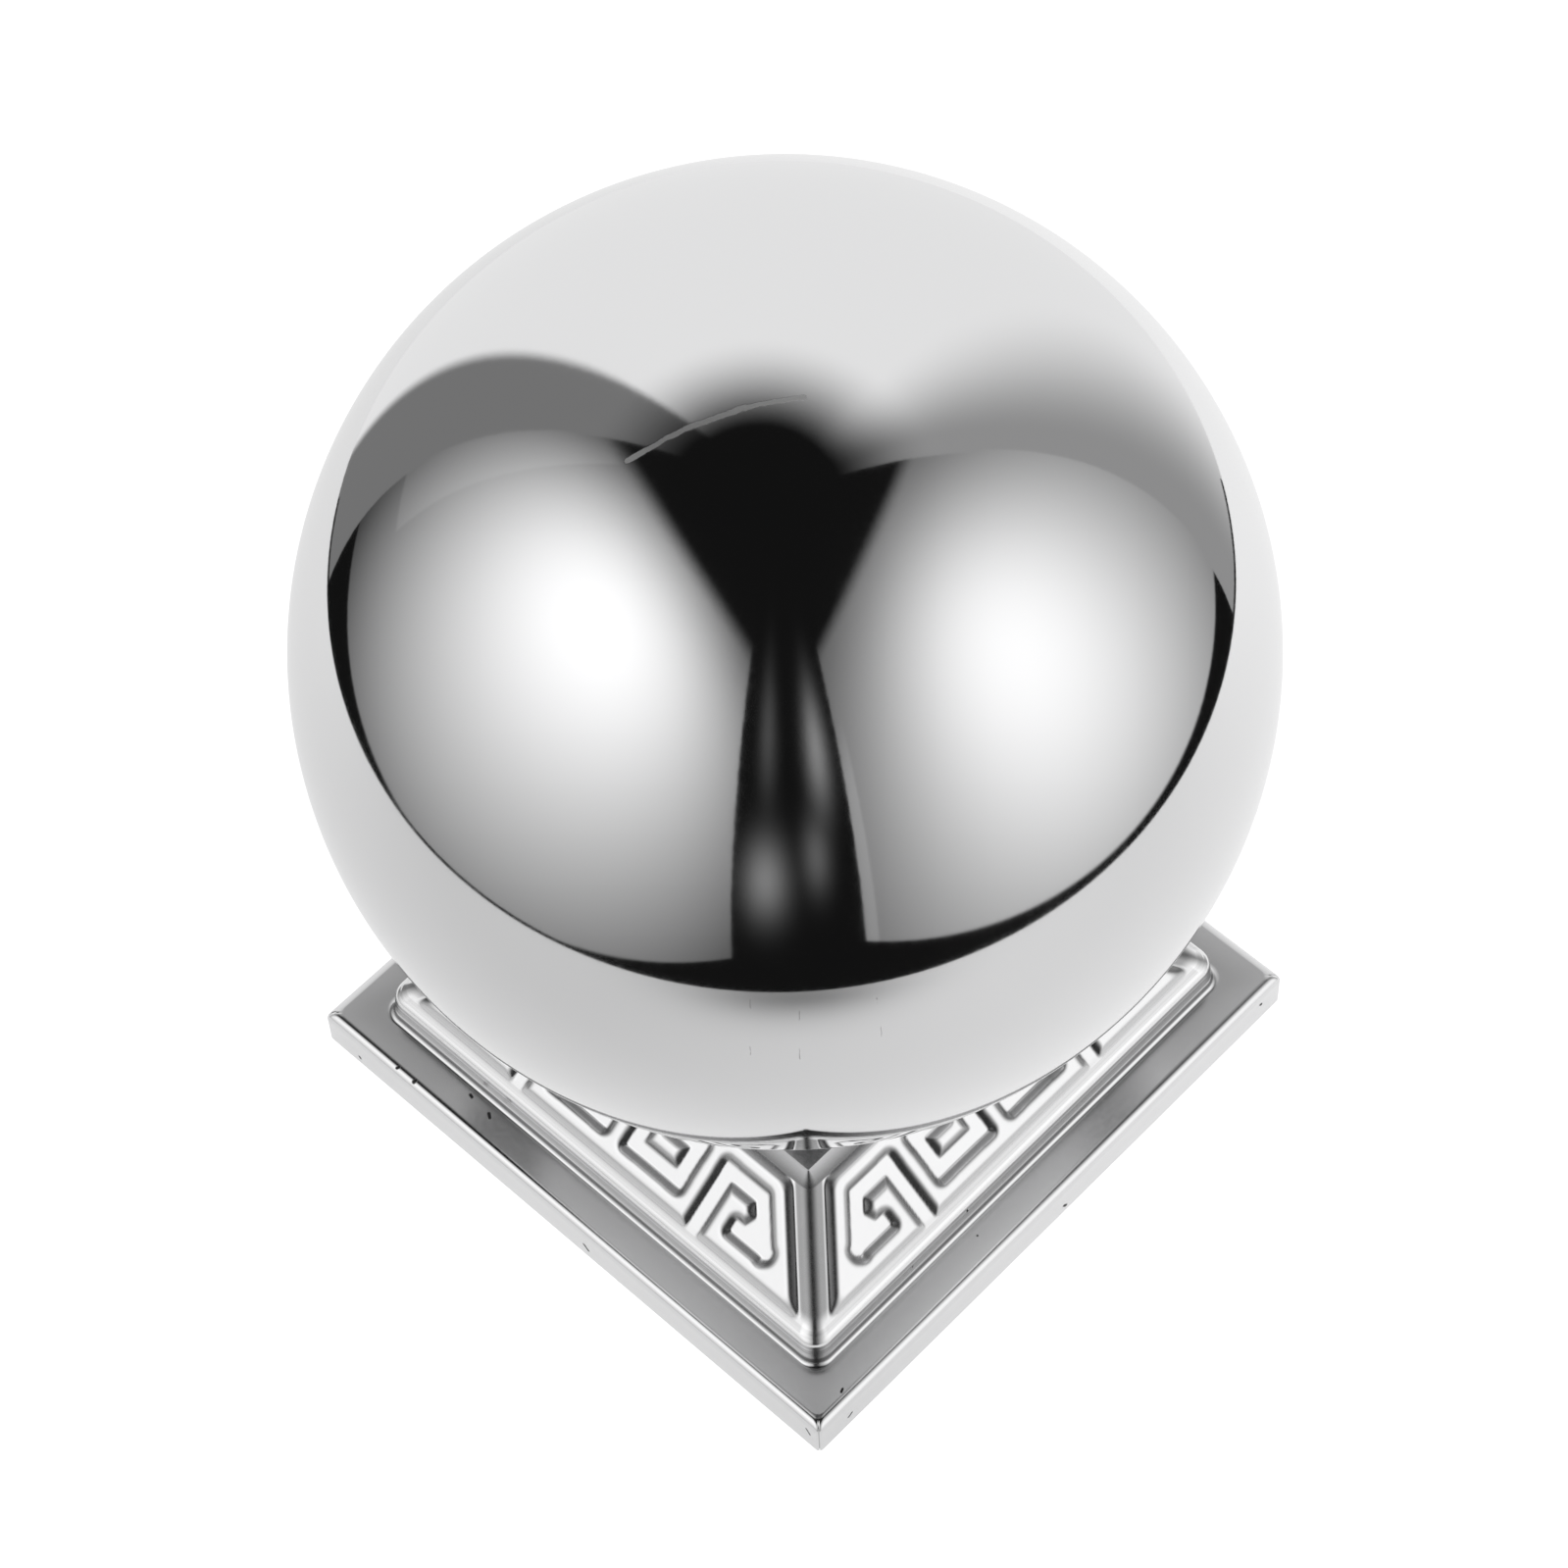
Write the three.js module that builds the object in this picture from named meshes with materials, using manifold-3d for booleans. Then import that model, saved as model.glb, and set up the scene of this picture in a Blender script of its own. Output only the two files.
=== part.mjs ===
// Ball newel cap: a pressed square cap that slips over the top of a square post, with a
// raised key fret on its four slopes, and a polished ball fixed on a short round neck.
// Millimetres, +Z up. The origin is the middle of the underside, on the skirts' lower edge.

import * as THREE from 'three';
import { ConvexGeometry } from 'three/addons/geometries/ConvexGeometry.js';
import { mergeVertices } from 'three/addons/utils/BufferGeometryUtils.js';
import Module from 'manifold-3d';

// The pressed cap
const capSide = 78.2;
const sheet = 1.0;
const skirtHeight = 5.4;
const bendRadius = 1.2;
const outerCornerRadius = 1.2;
const slitWidth = 0.4;

// The pyramid that rises from the ledge: a steep riser, then four slopes to a flat plate
const ledgeWidth = 5.05;
const riserRun = 0.35;
const riserHeight = 3.7;
const slopeAngle = THREE.MathUtils.degToRad(38.6);
const slopeLength = 15.05;
const footCornerRadius = 2.3;
const hipCornerRadius = 2.2;

// The round neck drawn up from the plate, and the ball on it
const ballRadius = 51;
const ballLift = 5.35;
const neckRadius = 13;
const neckFlare = 2;
const seatClearance = 0.3;

// The fret on each slope: a raised panel in which a flat band is sunk. Distances lie in the
// slope's own plane, across it from its middle and up it from the riser's top edge.
const fretRelief = 0.55;
const fretWall = 1.0;
const panelSill = 1.5;
const panelHead = 1.2;
const panelHip = 1.85;
const bandWidth = 1.6;
const bandInset = 3.88;
const innerArm = 2.35;
const outerArm = 9.1;
const innerHookEnd = 5.75;
const channelPlace = 13.7;
const outerHookEnd = 18.3;
const heelAcross = 1.5;
const heelUp = 1.2;

// How finely the round forms are cut
const cornerSteps = 4;
const bendSteps = 3;
const neckSegments = 36;
const arcSteps = 4;
const discSides = 12;
const ballSegments = 60;

// How far cutting and joining solids run past the faces they cross
const overlap = 0.2;

// Places worked out from the sizes above
const halfSide = capSide / 2;
const footHalf = halfSide - ledgeWidth;
const riserTopHalf = footHalf - riserRun;
const riserTopHeight = skirtHeight + riserHeight;
const plateHalf = riserTopHalf - slopeLength * Math.cos(slopeAngle);
const plateHeight = riserTopHeight + slopeLength * Math.sin(slopeAngle);
const ballCentre = plateHeight + ballLift + ballRadius;

const wasm = await Module();
wasm.setup();

// A closed three.js geometry as a solid for cutting and joining
function toSolid(geometry) {
  const bare = geometry.clone();
  bare.deleteAttribute('normal');
  bare.deleteAttribute('uv');
  const merged = mergeVertices(bare, 1e-4);
  return new wasm.Manifold(new wasm.Mesh({
    numProp: 3,
    vertProperties: new Float32Array(merged.attributes.position.array),
    triVerts: new Uint32Array(merged.index.array),
  }));
}

// The solid back as a three.js geometry
function toGeometry(solid) {
  const mesh = solid.getMesh();
  const geometry = new THREE.BufferGeometry();
  geometry.setAttribute('position', new THREE.BufferAttribute(mesh.vertProperties, 3));
  geometry.setIndex(new THREE.BufferAttribute(mesh.triVerts, 1));
  geometry.computeVertexNormals();
  return geometry;
}

// One level of the cap: a square with rounded corners at a height
function squareRing({ half, corner, z }) {
  const signs = [[1, 1], [-1, 1], [-1, -1], [1, -1]];
  const ring = [];
  signs.forEach(([signX, signY], quarter) => {
    for (let step = 0; step <= cornerSteps; step += 1) {
      const angle = (quarter + step / cornerSteps) * Math.PI / 2;
      const x = signX * (half - corner) + corner * Math.cos(angle);
      const y = signY * (half - corner) + corner * Math.sin(angle);
      ring.push(new THREE.Vector3(x, y, z));
    }
  });
  return ring;
}

// A closed solid through square levels given from the lowest to the highest
function stackSquares(levels) {
  const rings = levels.map(squareRing);
  const count = rings[0].length;
  const points = rings.flat();
  const bottomMiddle = points.length;
  points.push(new THREE.Vector3(0, 0, levels[0].z));
  const topMiddle = points.length;
  points.push(new THREE.Vector3(0, 0, levels[levels.length - 1].z));
  const faces = [];
  const lastRing = (rings.length - 1) * count;
  for (let i = 0; i < count; i += 1) {
    const next = (i + 1) % count;
    for (let level = 0; level + 1 < rings.length; level += 1) {
      const low = level * count;
      const high = low + count;
      faces.push(low + i, low + next, high + next, low + i, high + next, high + i);
    }
    faces.push(bottomMiddle, next, i);
    faces.push(topMiddle, lastRing + i, lastRing + next);
  }
  const geometry = new THREE.BufferGeometry().setFromPoints(points);
  geometry.setIndex(faces);
  return toSolid(geometry);
}

// The section's corners moved inwards by the sheet's thickness, square to each face
function insetSection(section, distance) {
  const inset = [];
  for (let i = 1; i + 1 < section.length; i += 1) {
    const before = section[i].clone().sub(section[i - 1]).normalize();
    const after = section[i + 1].clone().sub(section[i]).normalize();
    const inBefore = new THREE.Vector2(-before.y, before.x);
    const inAfter = new THREE.Vector2(-after.y, after.x);
    const bisector = inBefore.add(inAfter).normalize();
    const reach = distance / bisector.dot(inAfter);
    inset.push(section[i].clone().addScaledVector(bisector, reach));
  }
  return inset;
}

// Half section of the cap's outer faces, as half side across and height up
const section = [
  new THREE.Vector2(halfSide, 0),
  new THREE.Vector2(halfSide, skirtHeight),
  new THREE.Vector2(footHalf, skirtHeight),
  new THREE.Vector2(riserTopHalf, riserTopHeight),
  new THREE.Vector2(plateHalf, plateHeight),
  new THREE.Vector2(0, plateHeight),
];

// Outside of the cap: skirts, rounded bend, ledge, riser, slopes and plate
function capOutside() {
  const levels = [{ half: halfSide, corner: outerCornerRadius, z: 0 }];
  for (let step = 0; step <= bendSteps; step += 1) {
    const angle = step / bendSteps * Math.PI / 2;
    const half = halfSide - bendRadius * (1 - Math.cos(angle));
    const z = skirtHeight - bendRadius * (1 - Math.sin(angle));
    levels.push({ half, corner: outerCornerRadius, z });
  }
  levels.push({ half: section[2].x, corner: footCornerRadius, z: section[2].y });
  levels.push({ half: section[3].x, corner: hipCornerRadius, z: section[3].y });
  levels.push({ half: section[4].x, corner: hipCornerRadius, z: section[4].y });
  return stackSquares(levels);
}

// Hollow under the cap, open below, that leaves one sheet all over
function capHollow() {
  const [skirtTop, foot, riserTop, plateEdge] = insetSection(section, sheet);
  const footCorner = footCornerRadius - sheet;
  const skirtCorner = outerCornerRadius - sheet;
  const hipCorner = hipCornerRadius - sheet;
  return stackSquares([
    { half: skirtTop.x, corner: skirtCorner, z: -overlap },
    { half: skirtTop.x, corner: skirtCorner, z: skirtTop.y },
    { half: foot.x, corner: footCorner, z: foot.y },
    { half: riserTop.x, corner: hipCorner, z: riserTop.y },
    { half: plateEdge.x, corner: hipCorner, z: plateEdge.y },
  ]);
}

// Points on a shallow bowl round the ball's middle, from a radius in to the axis
function bowlArc(bowlRadius, rim) {
  const points = [];
  const widest = Math.asin(rim / bowlRadius);
  for (let step = 0; step <= arcSteps; step += 1) {
    const angle = widest * (1 - step / arcSteps);
    const z = ballCentre - bowlRadius * Math.cos(angle);
    points.push(new THREE.Vector2(bowlRadius * Math.sin(angle), z));
  }
  return points;
}

function lathe(profile) {
  return toSolid(new THREE.LatheGeometry(profile, neckSegments).rotateX(Math.PI / 2));
}

// Neck: flares out of the plate and ends in a bowl that the ball sits in
function neckOutside() {
  const foot = plateHeight - sheet / 2;
  const profile = [new THREE.Vector2(0, foot), new THREE.Vector2(neckRadius + neckFlare, foot)];
  for (let step = 0; step <= arcSteps; step += 1) {
    const angle = step / arcSteps * Math.PI / 2;
    const radius = neckRadius + neckFlare * (1 - Math.sin(angle));
    const z = plateHeight + neckFlare * (1 - Math.cos(angle));
    profile.push(new THREE.Vector2(radius, z));
  }
  return lathe([...profile, ...bowlArc(ballRadius + seatClearance, neckRadius)]);
}

// Hollow inside the neck, open into the cap
function neckHollow() {
  const inside = neckRadius - sheet;
  const foot = plateHeight - sheet - overlap;
  return lathe([
    new THREE.Vector2(0, foot),
    new THREE.Vector2(inside, foot),
    ...bowlArc(ballRadius + seatClearance + sheet, inside),
  ]);
}

// Thin cuts that part the four skirts at the corners, up to the ledge's sheet
function cornerSlits() {
  const height = skirtHeight - sheet;
  const reach = 4 * (bendRadius + sheet);
  const slits = [0, 1, 2, 3].map((quarter) => {
    const slit = new THREE.BoxGeometry(reach, slitWidth, height + overlap);
    slit.translate(halfSide * Math.SQRT2 - sheet, 0, (height - overlap) / 2);
    slit.rotateZ(Math.PI / 4 + quarter * Math.PI / 2);
    return toSolid(slit);
  });
  return wasm.Manifold.union(slits);
}

// A point on the front slope: across it, up it from the riser, and out from its surface
function onSlope(across, up, lift) {
  const cos = Math.cos(slopeAngle);
  const sin = Math.sin(slopeAngle);
  return new THREE.Vector3(
    across,
    -riserTopHalf + up * cos - lift * sin,
    riserTopHeight + up * sin + lift * cos,
  );
}

// Distance across to a line that runs along the hip, a margin away from it in the slope
function besideHip(up, margin) {
  const run = Math.cos(slopeAngle);
  return riserTopHalf - up * run - margin * Math.hypot(1, run);
}

// How much a leaning wall spreads over a change of height
const wallSpread = fretWall / fretRelief;

// The raised panel before its band is sunk; its root is inside the sheet
function fretPanel() {
  const points = [];
  const addLevel = (spread, lift) => {
    const low = panelSill - spread;
    const high = slopeLength - panelHead + spread;
    for (const up of [low, high]) {
      for (const side of [-1, 1]) {
        points.push(onSlope(side * besideHip(up, panelHip - spread), up, lift));
      }
    }
  };
  addLevel(overlap * wallSpread, -overlap);
  addLevel(-fretWall, fretRelief);
  return toSolid(new ConvexGeometry(points));
}

// One straight stretch of the sunk band, with round ends and walls that lean outwards
function bandStretch(from, to) {
  const points = [];
  const rootRadius = bandWidth / 2 - overlap * wallSpread;
  const rimRadius = bandWidth / 2 + (fretRelief + overlap) * wallSpread;
  for (const [across, up] of [from, to]) {
    for (let side = 0; side < discSides; side += 1) {
      const angle = (side + 0.5) / discSides * 2 * Math.PI;
      const x = Math.cos(angle);
      const y = Math.sin(angle);
      points.push(onSlope(across + rootRadius * x, up + rootRadius * y, -overlap));
      points.push(onSlope(across + rimRadius * x, up + rimRadius * y, fretRelief + overlap));
    }
  }
  return toSolid(new ConvexGeometry(points));
}

// The band's paths on one half of a slope, as points across and up
function bandPaths() {
  const lowRow = panelSill + bandInset;
  const highRow = slopeLength - panelHead - bandInset;
  const hipRow = panelHip + bandInset;
  const corner = [besideHip(lowRow, hipRow), lowRow];
  const key = [
    [channelPlace, 0],
    [channelPlace, highRow],
    [besideHip(highRow, hipRow), highRow],
    corner,
    [outerHookEnd, lowRow],
  ];
  const heel = [corner, [outerHookEnd + heelAcross, lowRow + heelUp]];
  const inner = [
    [innerArm, highRow],
    [innerArm, lowRow],
    [outerArm, lowRow],
    [outerArm, highRow],
    [innerHookEnd, highRow],
  ];
  return [key, heel, inner];
}

// The fret of one slope, made on the front slope and turned to its own side
function fret(quarter) {
  const stretches = [];
  for (const path of bandPaths()) {
    for (const side of [-1, 1]) {
      const mirrored = path.map(([across, up]) => [side * across, up]);
      for (let i = 0; i + 1 < mirrored.length; i += 1) {
        stretches.push(bandStretch(mirrored[i], mirrored[i + 1]));
      }
    }
  }
  const sunk = wasm.Manifold.union(stretches);
  return fretPanel().subtract(sunk).rotate([0, 0, quarter * 90]);
}

function makeCap() {
  const frets = wasm.Manifold.union([0, 1, 2, 3].map(fret));
  const hollow = wasm.Manifold.union([capHollow(), neckHollow(), cornerSlits()]);
  return toGeometry(capOutside().add(neckOutside()).subtract(hollow).add(frets));
}

function makeBall() {
  const ball = new THREE.SphereGeometry(ballRadius, ballSegments, ballSegments / 2);
  ball.rotateX(Math.PI / 2);
  return ball;
}

const polishedSteel = { color: 0xd9dadb, metalness: 1 };

const cap = new THREE.Mesh(
  makeCap(),
  new THREE.MeshStandardMaterial({ ...polishedSteel, roughness: 0.16 }),
);
cap.name = 'pressed_cap';

const ball = new THREE.Mesh(
  makeBall(),
  new THREE.MeshStandardMaterial({ ...polishedSteel, roughness: 0.06 }),
);
ball.name = 'ball';
ball.position.z = ballCentre;

const newelCap = new THREE.Group();
newelCap.add(cap, ball);

export default newelCap;
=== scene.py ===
"""Looks of the ball newel cap: a pressed square cap with a key fret and a polished ball.

Everything is in metres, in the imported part's own frame: +Z up, origin under the middle of
the cap. The script reads nothing but that frame.
"""

import math

import bpy
import numpy as np
from bpy.props import FloatProperty, FloatVectorProperty, IntProperty, PointerProperty
from mathutils import Matrix, Vector


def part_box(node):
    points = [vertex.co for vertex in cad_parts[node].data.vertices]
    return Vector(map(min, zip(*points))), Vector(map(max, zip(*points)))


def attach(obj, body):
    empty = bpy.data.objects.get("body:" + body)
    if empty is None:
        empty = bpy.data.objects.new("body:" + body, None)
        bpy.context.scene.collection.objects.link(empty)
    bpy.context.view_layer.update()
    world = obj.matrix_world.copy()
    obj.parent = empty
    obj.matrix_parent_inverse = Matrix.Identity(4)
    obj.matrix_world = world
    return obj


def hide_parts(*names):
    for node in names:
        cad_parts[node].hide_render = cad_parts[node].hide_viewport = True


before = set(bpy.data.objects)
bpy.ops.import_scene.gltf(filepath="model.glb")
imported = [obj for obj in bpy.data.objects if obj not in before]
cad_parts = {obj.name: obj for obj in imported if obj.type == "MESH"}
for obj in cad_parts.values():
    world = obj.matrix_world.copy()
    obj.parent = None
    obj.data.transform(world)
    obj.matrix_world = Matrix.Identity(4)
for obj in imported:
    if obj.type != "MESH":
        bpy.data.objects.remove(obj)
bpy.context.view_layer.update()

bl_info = {
    "name": "Ball newel cap",
    "version": (1, 0, 0),
    "blender": (4, 5, 0),
    "location": "View3D > Sidebar > Newel Cap",
    "description": "Builds the pressed cap, the polished ball and their studio",
    "category": "Add Mesh",
}

MM = 0.001
CAP_LOW, CAP_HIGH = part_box("pressed_cap")
BALL_LOW, BALL_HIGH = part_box("ball")
HALF_SIDE = CAP_HIGH[0]
BALL_RADIUS = (BALL_HIGH[2] - BALL_LOW[2]) / 2
BALL_CENTRE = (BALL_HIGH[2] + BALL_LOW[2]) / 2


def length(name, description, default):
    """A size in metres for the sidebar."""
    return FloatProperty(
        name=name, description=description, default=default,
        min=0.0, precision=5, subtype="DISTANCE", unit="LENGTH",
    )


def colour(name, description, default):
    """A colour for the sidebar."""
    return FloatVectorProperty(
        name=name, description=description, default=default,
        min=0.0, max=1.0, size=3, subtype="COLOR",
    )


def amount(name, description, default):
    """A plain number for the sidebar."""
    return FloatProperty(name=name, description=description, default=default, min=0.0)


def turn(name, description, degrees):
    """An angle for the sidebar, given in degrees."""
    return FloatProperty(
        name=name, description=description, default=math.radians(degrees), subtype="ANGLE",
    )


class CapSizes(bpy.types.PropertyGroup):
    """Sizes of the pressed cap without its fret."""

    sheet: length("Sheet", "Thickness of the steel sheet", 1.0 * MM)
    skirt_height: length("Skirt height", "From the lower edge to the ledge", 5.4 * MM)
    bend_radius: length("Bend", "Outer radius between skirt and ledge", 1.2 * MM)
    edge_radius: length("Cut edge", "Radius of the skirts' lower edge", 0.12 * MM)
    skirt_corner: length("Skirt corner", "Radius of the four outer corners", 0.6 * MM)
    ledge_width: length("Ledge width", "From the skirt's face to the riser's foot", 5.05 * MM)
    riser_run: length("Riser run", "How far the riser leans inwards", 0.35 * MM)
    riser_height: length("Riser height", "From the ledge to the slopes", 3.7 * MM)
    foot_fillet: length("Riser foot", "Hollow radius between ledge and riser", 0.6 * MM)
    riser_fillet: length("Riser top", "Round radius between riser and slope", 1.4 * MM)
    slope_angle: turn("Slope", "Angle of the four slopes above level", 38.6)
    slope_length: length("Slope length", "Up one slope, riser to plate", 15.05 * MM)
    foot_corner: length("Foot corner", "Radius of the riser's corners", 2.3 * MM)
    hip_corner: length("Hip corner", "Radius across the four hips", 1.3 * MM)
    bevel_start: length("Bevel start", "Up one slope to the bevel round the plate", 13.85 * MM)
    bevel_run: length("Bevel run", "Across the bevel round the plate, in plan", 1.6 * MM)
    bevel_fillet: length("Bevel edges", "Round radius at both edges of the bevel", 0.25 * MM)
    slit_depth: length("Slit depth", "Depth of the parting line at each corner", 0.3 * MM)
    neck_radius: length("Neck radius", "Outer radius of the round neck", 13.0 * MM)
    neck_flare: length("Neck flare", "Hollow radius at the neck's foot", 2.0 * MM)
    seat_clearance: length("Seat clearance", "Between the ball and its seat", 0.3 * MM)


class FretSizes(bpy.types.PropertyGroup):
    """Sizes of the raised key fret, across and up the slope's own plane."""

    relief: length("Relief", "How far the panel stands above the slope", 0.6 * MM)
    wall: length("Wall", "Width over which a wall rises", 1.25 * MM)
    sill: length("Sill", "From the riser to the panel", 1.5 * MM)
    head: length("Head", "From the panel to the plate", 1.2 * MM)
    hip_margin: length("Hip margin", "From the hip to the panel", 1.85 * MM)
    band_width: length("Band width", "Floor of the sunk band", 1.6 * MM)
    band_inset: length("Band inset", "From the panel's foot to the band's middle", 3.88 * MM)
    inner_arm: length("Inner arm", "Middle of the slope to the hook's inner arm", 2.35 * MM)
    outer_arm: length("Outer arm", "Middle of the slope to the hook's outer arm", 9.1 * MM)
    inner_hook_end: length("Inner hook", "Middle of the slope to the hook's end", 5.75 * MM)
    channel: length("Channel", "Middle of the slope to the open channel", 13.7 * MM)
    outer_hook_end: length("Outer hook", "Middle of the slope to the key's end", 18.3 * MM)
    heel_across: length("Heel across", "Fill of the key's acute corner, across", 1.5 * MM)
    heel_up: length("Heel up", "Fill of the key's acute corner, up the slope", 1.2 * MM)
    heel_reach: length("Heel reach", "How far the key's acute corner tapers on", 0.5 * MM)
    corner_blend: length("Raised corners", "How far the raised corners are rounded", 0.2 * MM)
    floor_corner: length("Floor corners", "Radius of the sunk band's corners", 0.25 * MM)
    panel_blend: length("Panel corners", "How far the panel's corners are rounded", 0.9 * MM)


class WeldSizes(bpy.types.PropertyGroup):
    """Sizes of the weld that holds the ball on its neck."""

    beads: IntProperty(name="Beads", description="Ripples round the neck", default=54, min=3)
    bead_length: length("Bead length", "Along the seam", 1.9 * MM)
    bead_width: length("Bead width", "Across the seam", 1.0 * MM)
    bead_height: length("Bead height", "Out of the seam", 0.5 * MM)
    seed: IntProperty(name="Seed", description="Seed of the beads' variation", default=7)


class SteelFinish(bpy.types.PropertyGroup):
    """Colours and gloss of the two steel finishes."""

    cap_colour: colour("Cap", "Reflected colour of the pressed sheet", (0.83, 0.83, 0.835))
    cap_roughness: amount("Cap roughness", "Roughness of the pressed sheet", 0.14)
    ball_colour: colour("Ball", "Reflected colour of the ball", (0.87, 0.87, 0.875))
    ball_roughness: amount("Ball roughness", "Roughness of the polished ball", 0.05)
    pit_colour: colour("Pits", "Colour of pits and nicks", (0.05, 0.05, 0.05))
    scratch_colour: colour("Scratches", "Colour of the ball's scratches", (0.6, 0.6, 0.6))


class StudioSizes(bpy.types.PropertyGroup):
    """Camera, table and light."""

    heading: turn("Heading", "The camera's bearing round the part", 46.013)
    elevation: turn("Elevation", "The camera's height above level", 57.119)
    roll: turn("Roll", "The camera's turn about its own axis", -3.161)
    distance: length("Distance", "From the camera to the part's origin", 548.37 * MM)
    slide_right: FloatProperty(
        name="Slide", description="The camera's place to the right", default=-2.35 * MM,
        subtype="DISTANCE", unit="LENGTH",
    )
    slide_up: length("Lift", "The camera's place upwards in its own frame", 27.13 * MM)
    lens: amount("Lens", "Focal length in millimetres on a 36 mm sensor", 108.293)
    table_radius: length("Table", "Radius of the white table top", 228 * MM)
    rim_width: length("Table edge", "Width of the table top's dark edge", 8 * MM)
    floor_size: length("Floor", "Side of the pale floor", 6.0)
    floor_colour: colour("Floor colour", "Colour of the floor and the table", (0.4, 0.4, 0.4))


class NewelCapSettings(bpy.types.PropertyGroup):
    """Every size and colour of the newel cap."""

    cap: PointerProperty(type=CapSizes)
    fret: PointerProperty(type=FretSizes)
    weld: PointerProperty(type=WeldSizes)
    finish: PointerProperty(type=SteelFinish)
    studio: PointerProperty(type=StudioSizes)


# Node trees

def set_inputs(tree, node, inputs):
    """Fill a node's inputs with values or with other nodes' outputs.

    An input goes by its name, or by its number after an underscore.
    """
    for name, value in inputs.items():
        socket = node.inputs[int(name[1:])] if name[0] == "_" else node.inputs[name.replace("_", " ")]
        if isinstance(value, bpy.types.NodeSocket):
            tree.links.new(value, socket)
        else:
            socket.default_value = value


def add_node(tree, kind, settings=None, **inputs):
    """A node with its settings, and with its inputs filled as set_inputs does."""
    node = tree.nodes.new(kind)
    for name, value in (settings or {}).items():
        setattr(node, name, value)
    set_inputs(tree, node, inputs)
    return node


def calculate(tree, operation, first, second=0.0, third=0.0):
    """The result of a Math node."""
    node = add_node(tree, "ShaderNodeMath", {"operation": operation}, _0=first, _1=second, _2=third)
    return node.outputs[0]


def vector_math(tree, operation, first, second=(0.0, 0.0, 0.0)):
    """A Vector Math node."""
    return add_node(tree, "ShaderNodeVectorMath", {"operation": operation}, _0=first, _1=second)


def dot(tree, first, second):
    """The dot product of two vectors."""
    return vector_math(tree, "DOT_PRODUCT", first, second).outputs["Value"]


def noise(tree, place, scale, detail):
    """The value of a noise texture at a place."""
    return add_node(tree, "ShaderNodeTexNoise", {}, Vector=place, Scale=scale, Detail=detail).outputs[0]


def ramp(tree, value, start, end, low=0.0, high=1.0):
    """A value taken smoothly from low to high as another goes from start to end."""
    node = add_node(
        tree, "ShaderNodeMapRange", {"interpolation_type": "SMOOTHSTEP", "clamp": True},
        _0=value, _1=start, _2=end, _3=low, _4=high,
    )
    return node.outputs[0]


def soft_fall(tree, offsets):
    """A fall from 1 in the middle of a soft spot, by offsets measured in the spot's sizes."""
    total = 0.0
    for offset in offsets:
        total = calculate(tree, "MULTIPLY_ADD", offset, offset, total)
    return calculate(tree, "EXPONENT", calculate(tree, "MULTIPLY", total, -1.0))


def new_group(name, vectors, numbers, outputs):
    """A shader node group, its input and output nodes. The input numbers have defaults."""
    group = bpy.data.node_groups.new(name, "ShaderNodeTree")
    for label in vectors:
        group.interface.new_socket(name=label, in_out="INPUT", socket_type="NodeSocketVector")
    for label, default in numbers.items():
        socket = group.interface.new_socket(name=label, in_out="INPUT", socket_type="NodeSocketFloat")
        socket.default_value = default
    for label in outputs:
        group.interface.new_socket(name=label, in_out="OUTPUT", socket_type="NodeSocketFloat")
    return group, group.nodes.new("NodeGroupInput"), group.nodes.new("NodeGroupOutput")


def add_group(tree, group, **inputs):
    """A group placed in a tree with its own values."""
    return add_node(tree, "ShaderNodeGroup", {"node_tree": group}, **inputs)


def new_material(name, **inputs):
    """A material with its node tree and its shader, whose inputs are filled."""
    material = bpy.data.materials.new(name)
    material.use_nodes = True
    tree = material.node_tree
    shader = tree.nodes["Principled BSDF"]
    set_inputs(tree, shader, inputs)
    return material, tree, shader


# How much the wheel lines are stretched along Z, and how fine the haze is
LINE_STRETCH = (1.0, 1.0, 0.12)
HAZE_SCALE = 45.0


def polish_group():
    """Fine lines left by the polishing wheel, a haze and gentle waves in the sheet."""
    group, source, result = new_group(
        "polish_marks", ("Position",),
        {
            "Line Scale": 900.0, "Wave Scale": 90.0, "Wave Height": 1.0, "Line Height": 1.0,
            "Roughness": 0.1,
        },
        ("Roughness", "Height"),
    )
    out = source.outputs
    stretched = vector_math(group, "MULTIPLY", out["Position"], LINE_STRETCH).outputs[0]
    lines = noise(group, stretched, out["Line Scale"], 3.0)
    waves = noise(group, out["Position"], out["Wave Scale"], 1.0)
    haze = noise(group, out["Position"], HAZE_SCALE, 4.0)
    hazy = ramp(group, haze, 0.35, 0.75, 0.8, 1.25)
    spread = calculate(group, "ADD", hazy, ramp(group, lines, 0.3, 0.7, -0.1, 0.1))
    line_height = calculate(group, "MULTIPLY", lines, out["Line Height"])
    wave_height = calculate(group, "MULTIPLY", waves, out["Wave Height"])
    set_inputs(group, result, {
        "Roughness": calculate(group, "MULTIPLY", out["Roughness"], spread),
        "Height": calculate(group, "ADD", line_height, wave_height),
    })
    return group


# How finely and how far a scratch wanders, and the least square of a run, for pits
WOBBLE_SCALE = 700.0
WOBBLE = 0.4 * MM
LEAST_SQUARE = 1e-9


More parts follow.
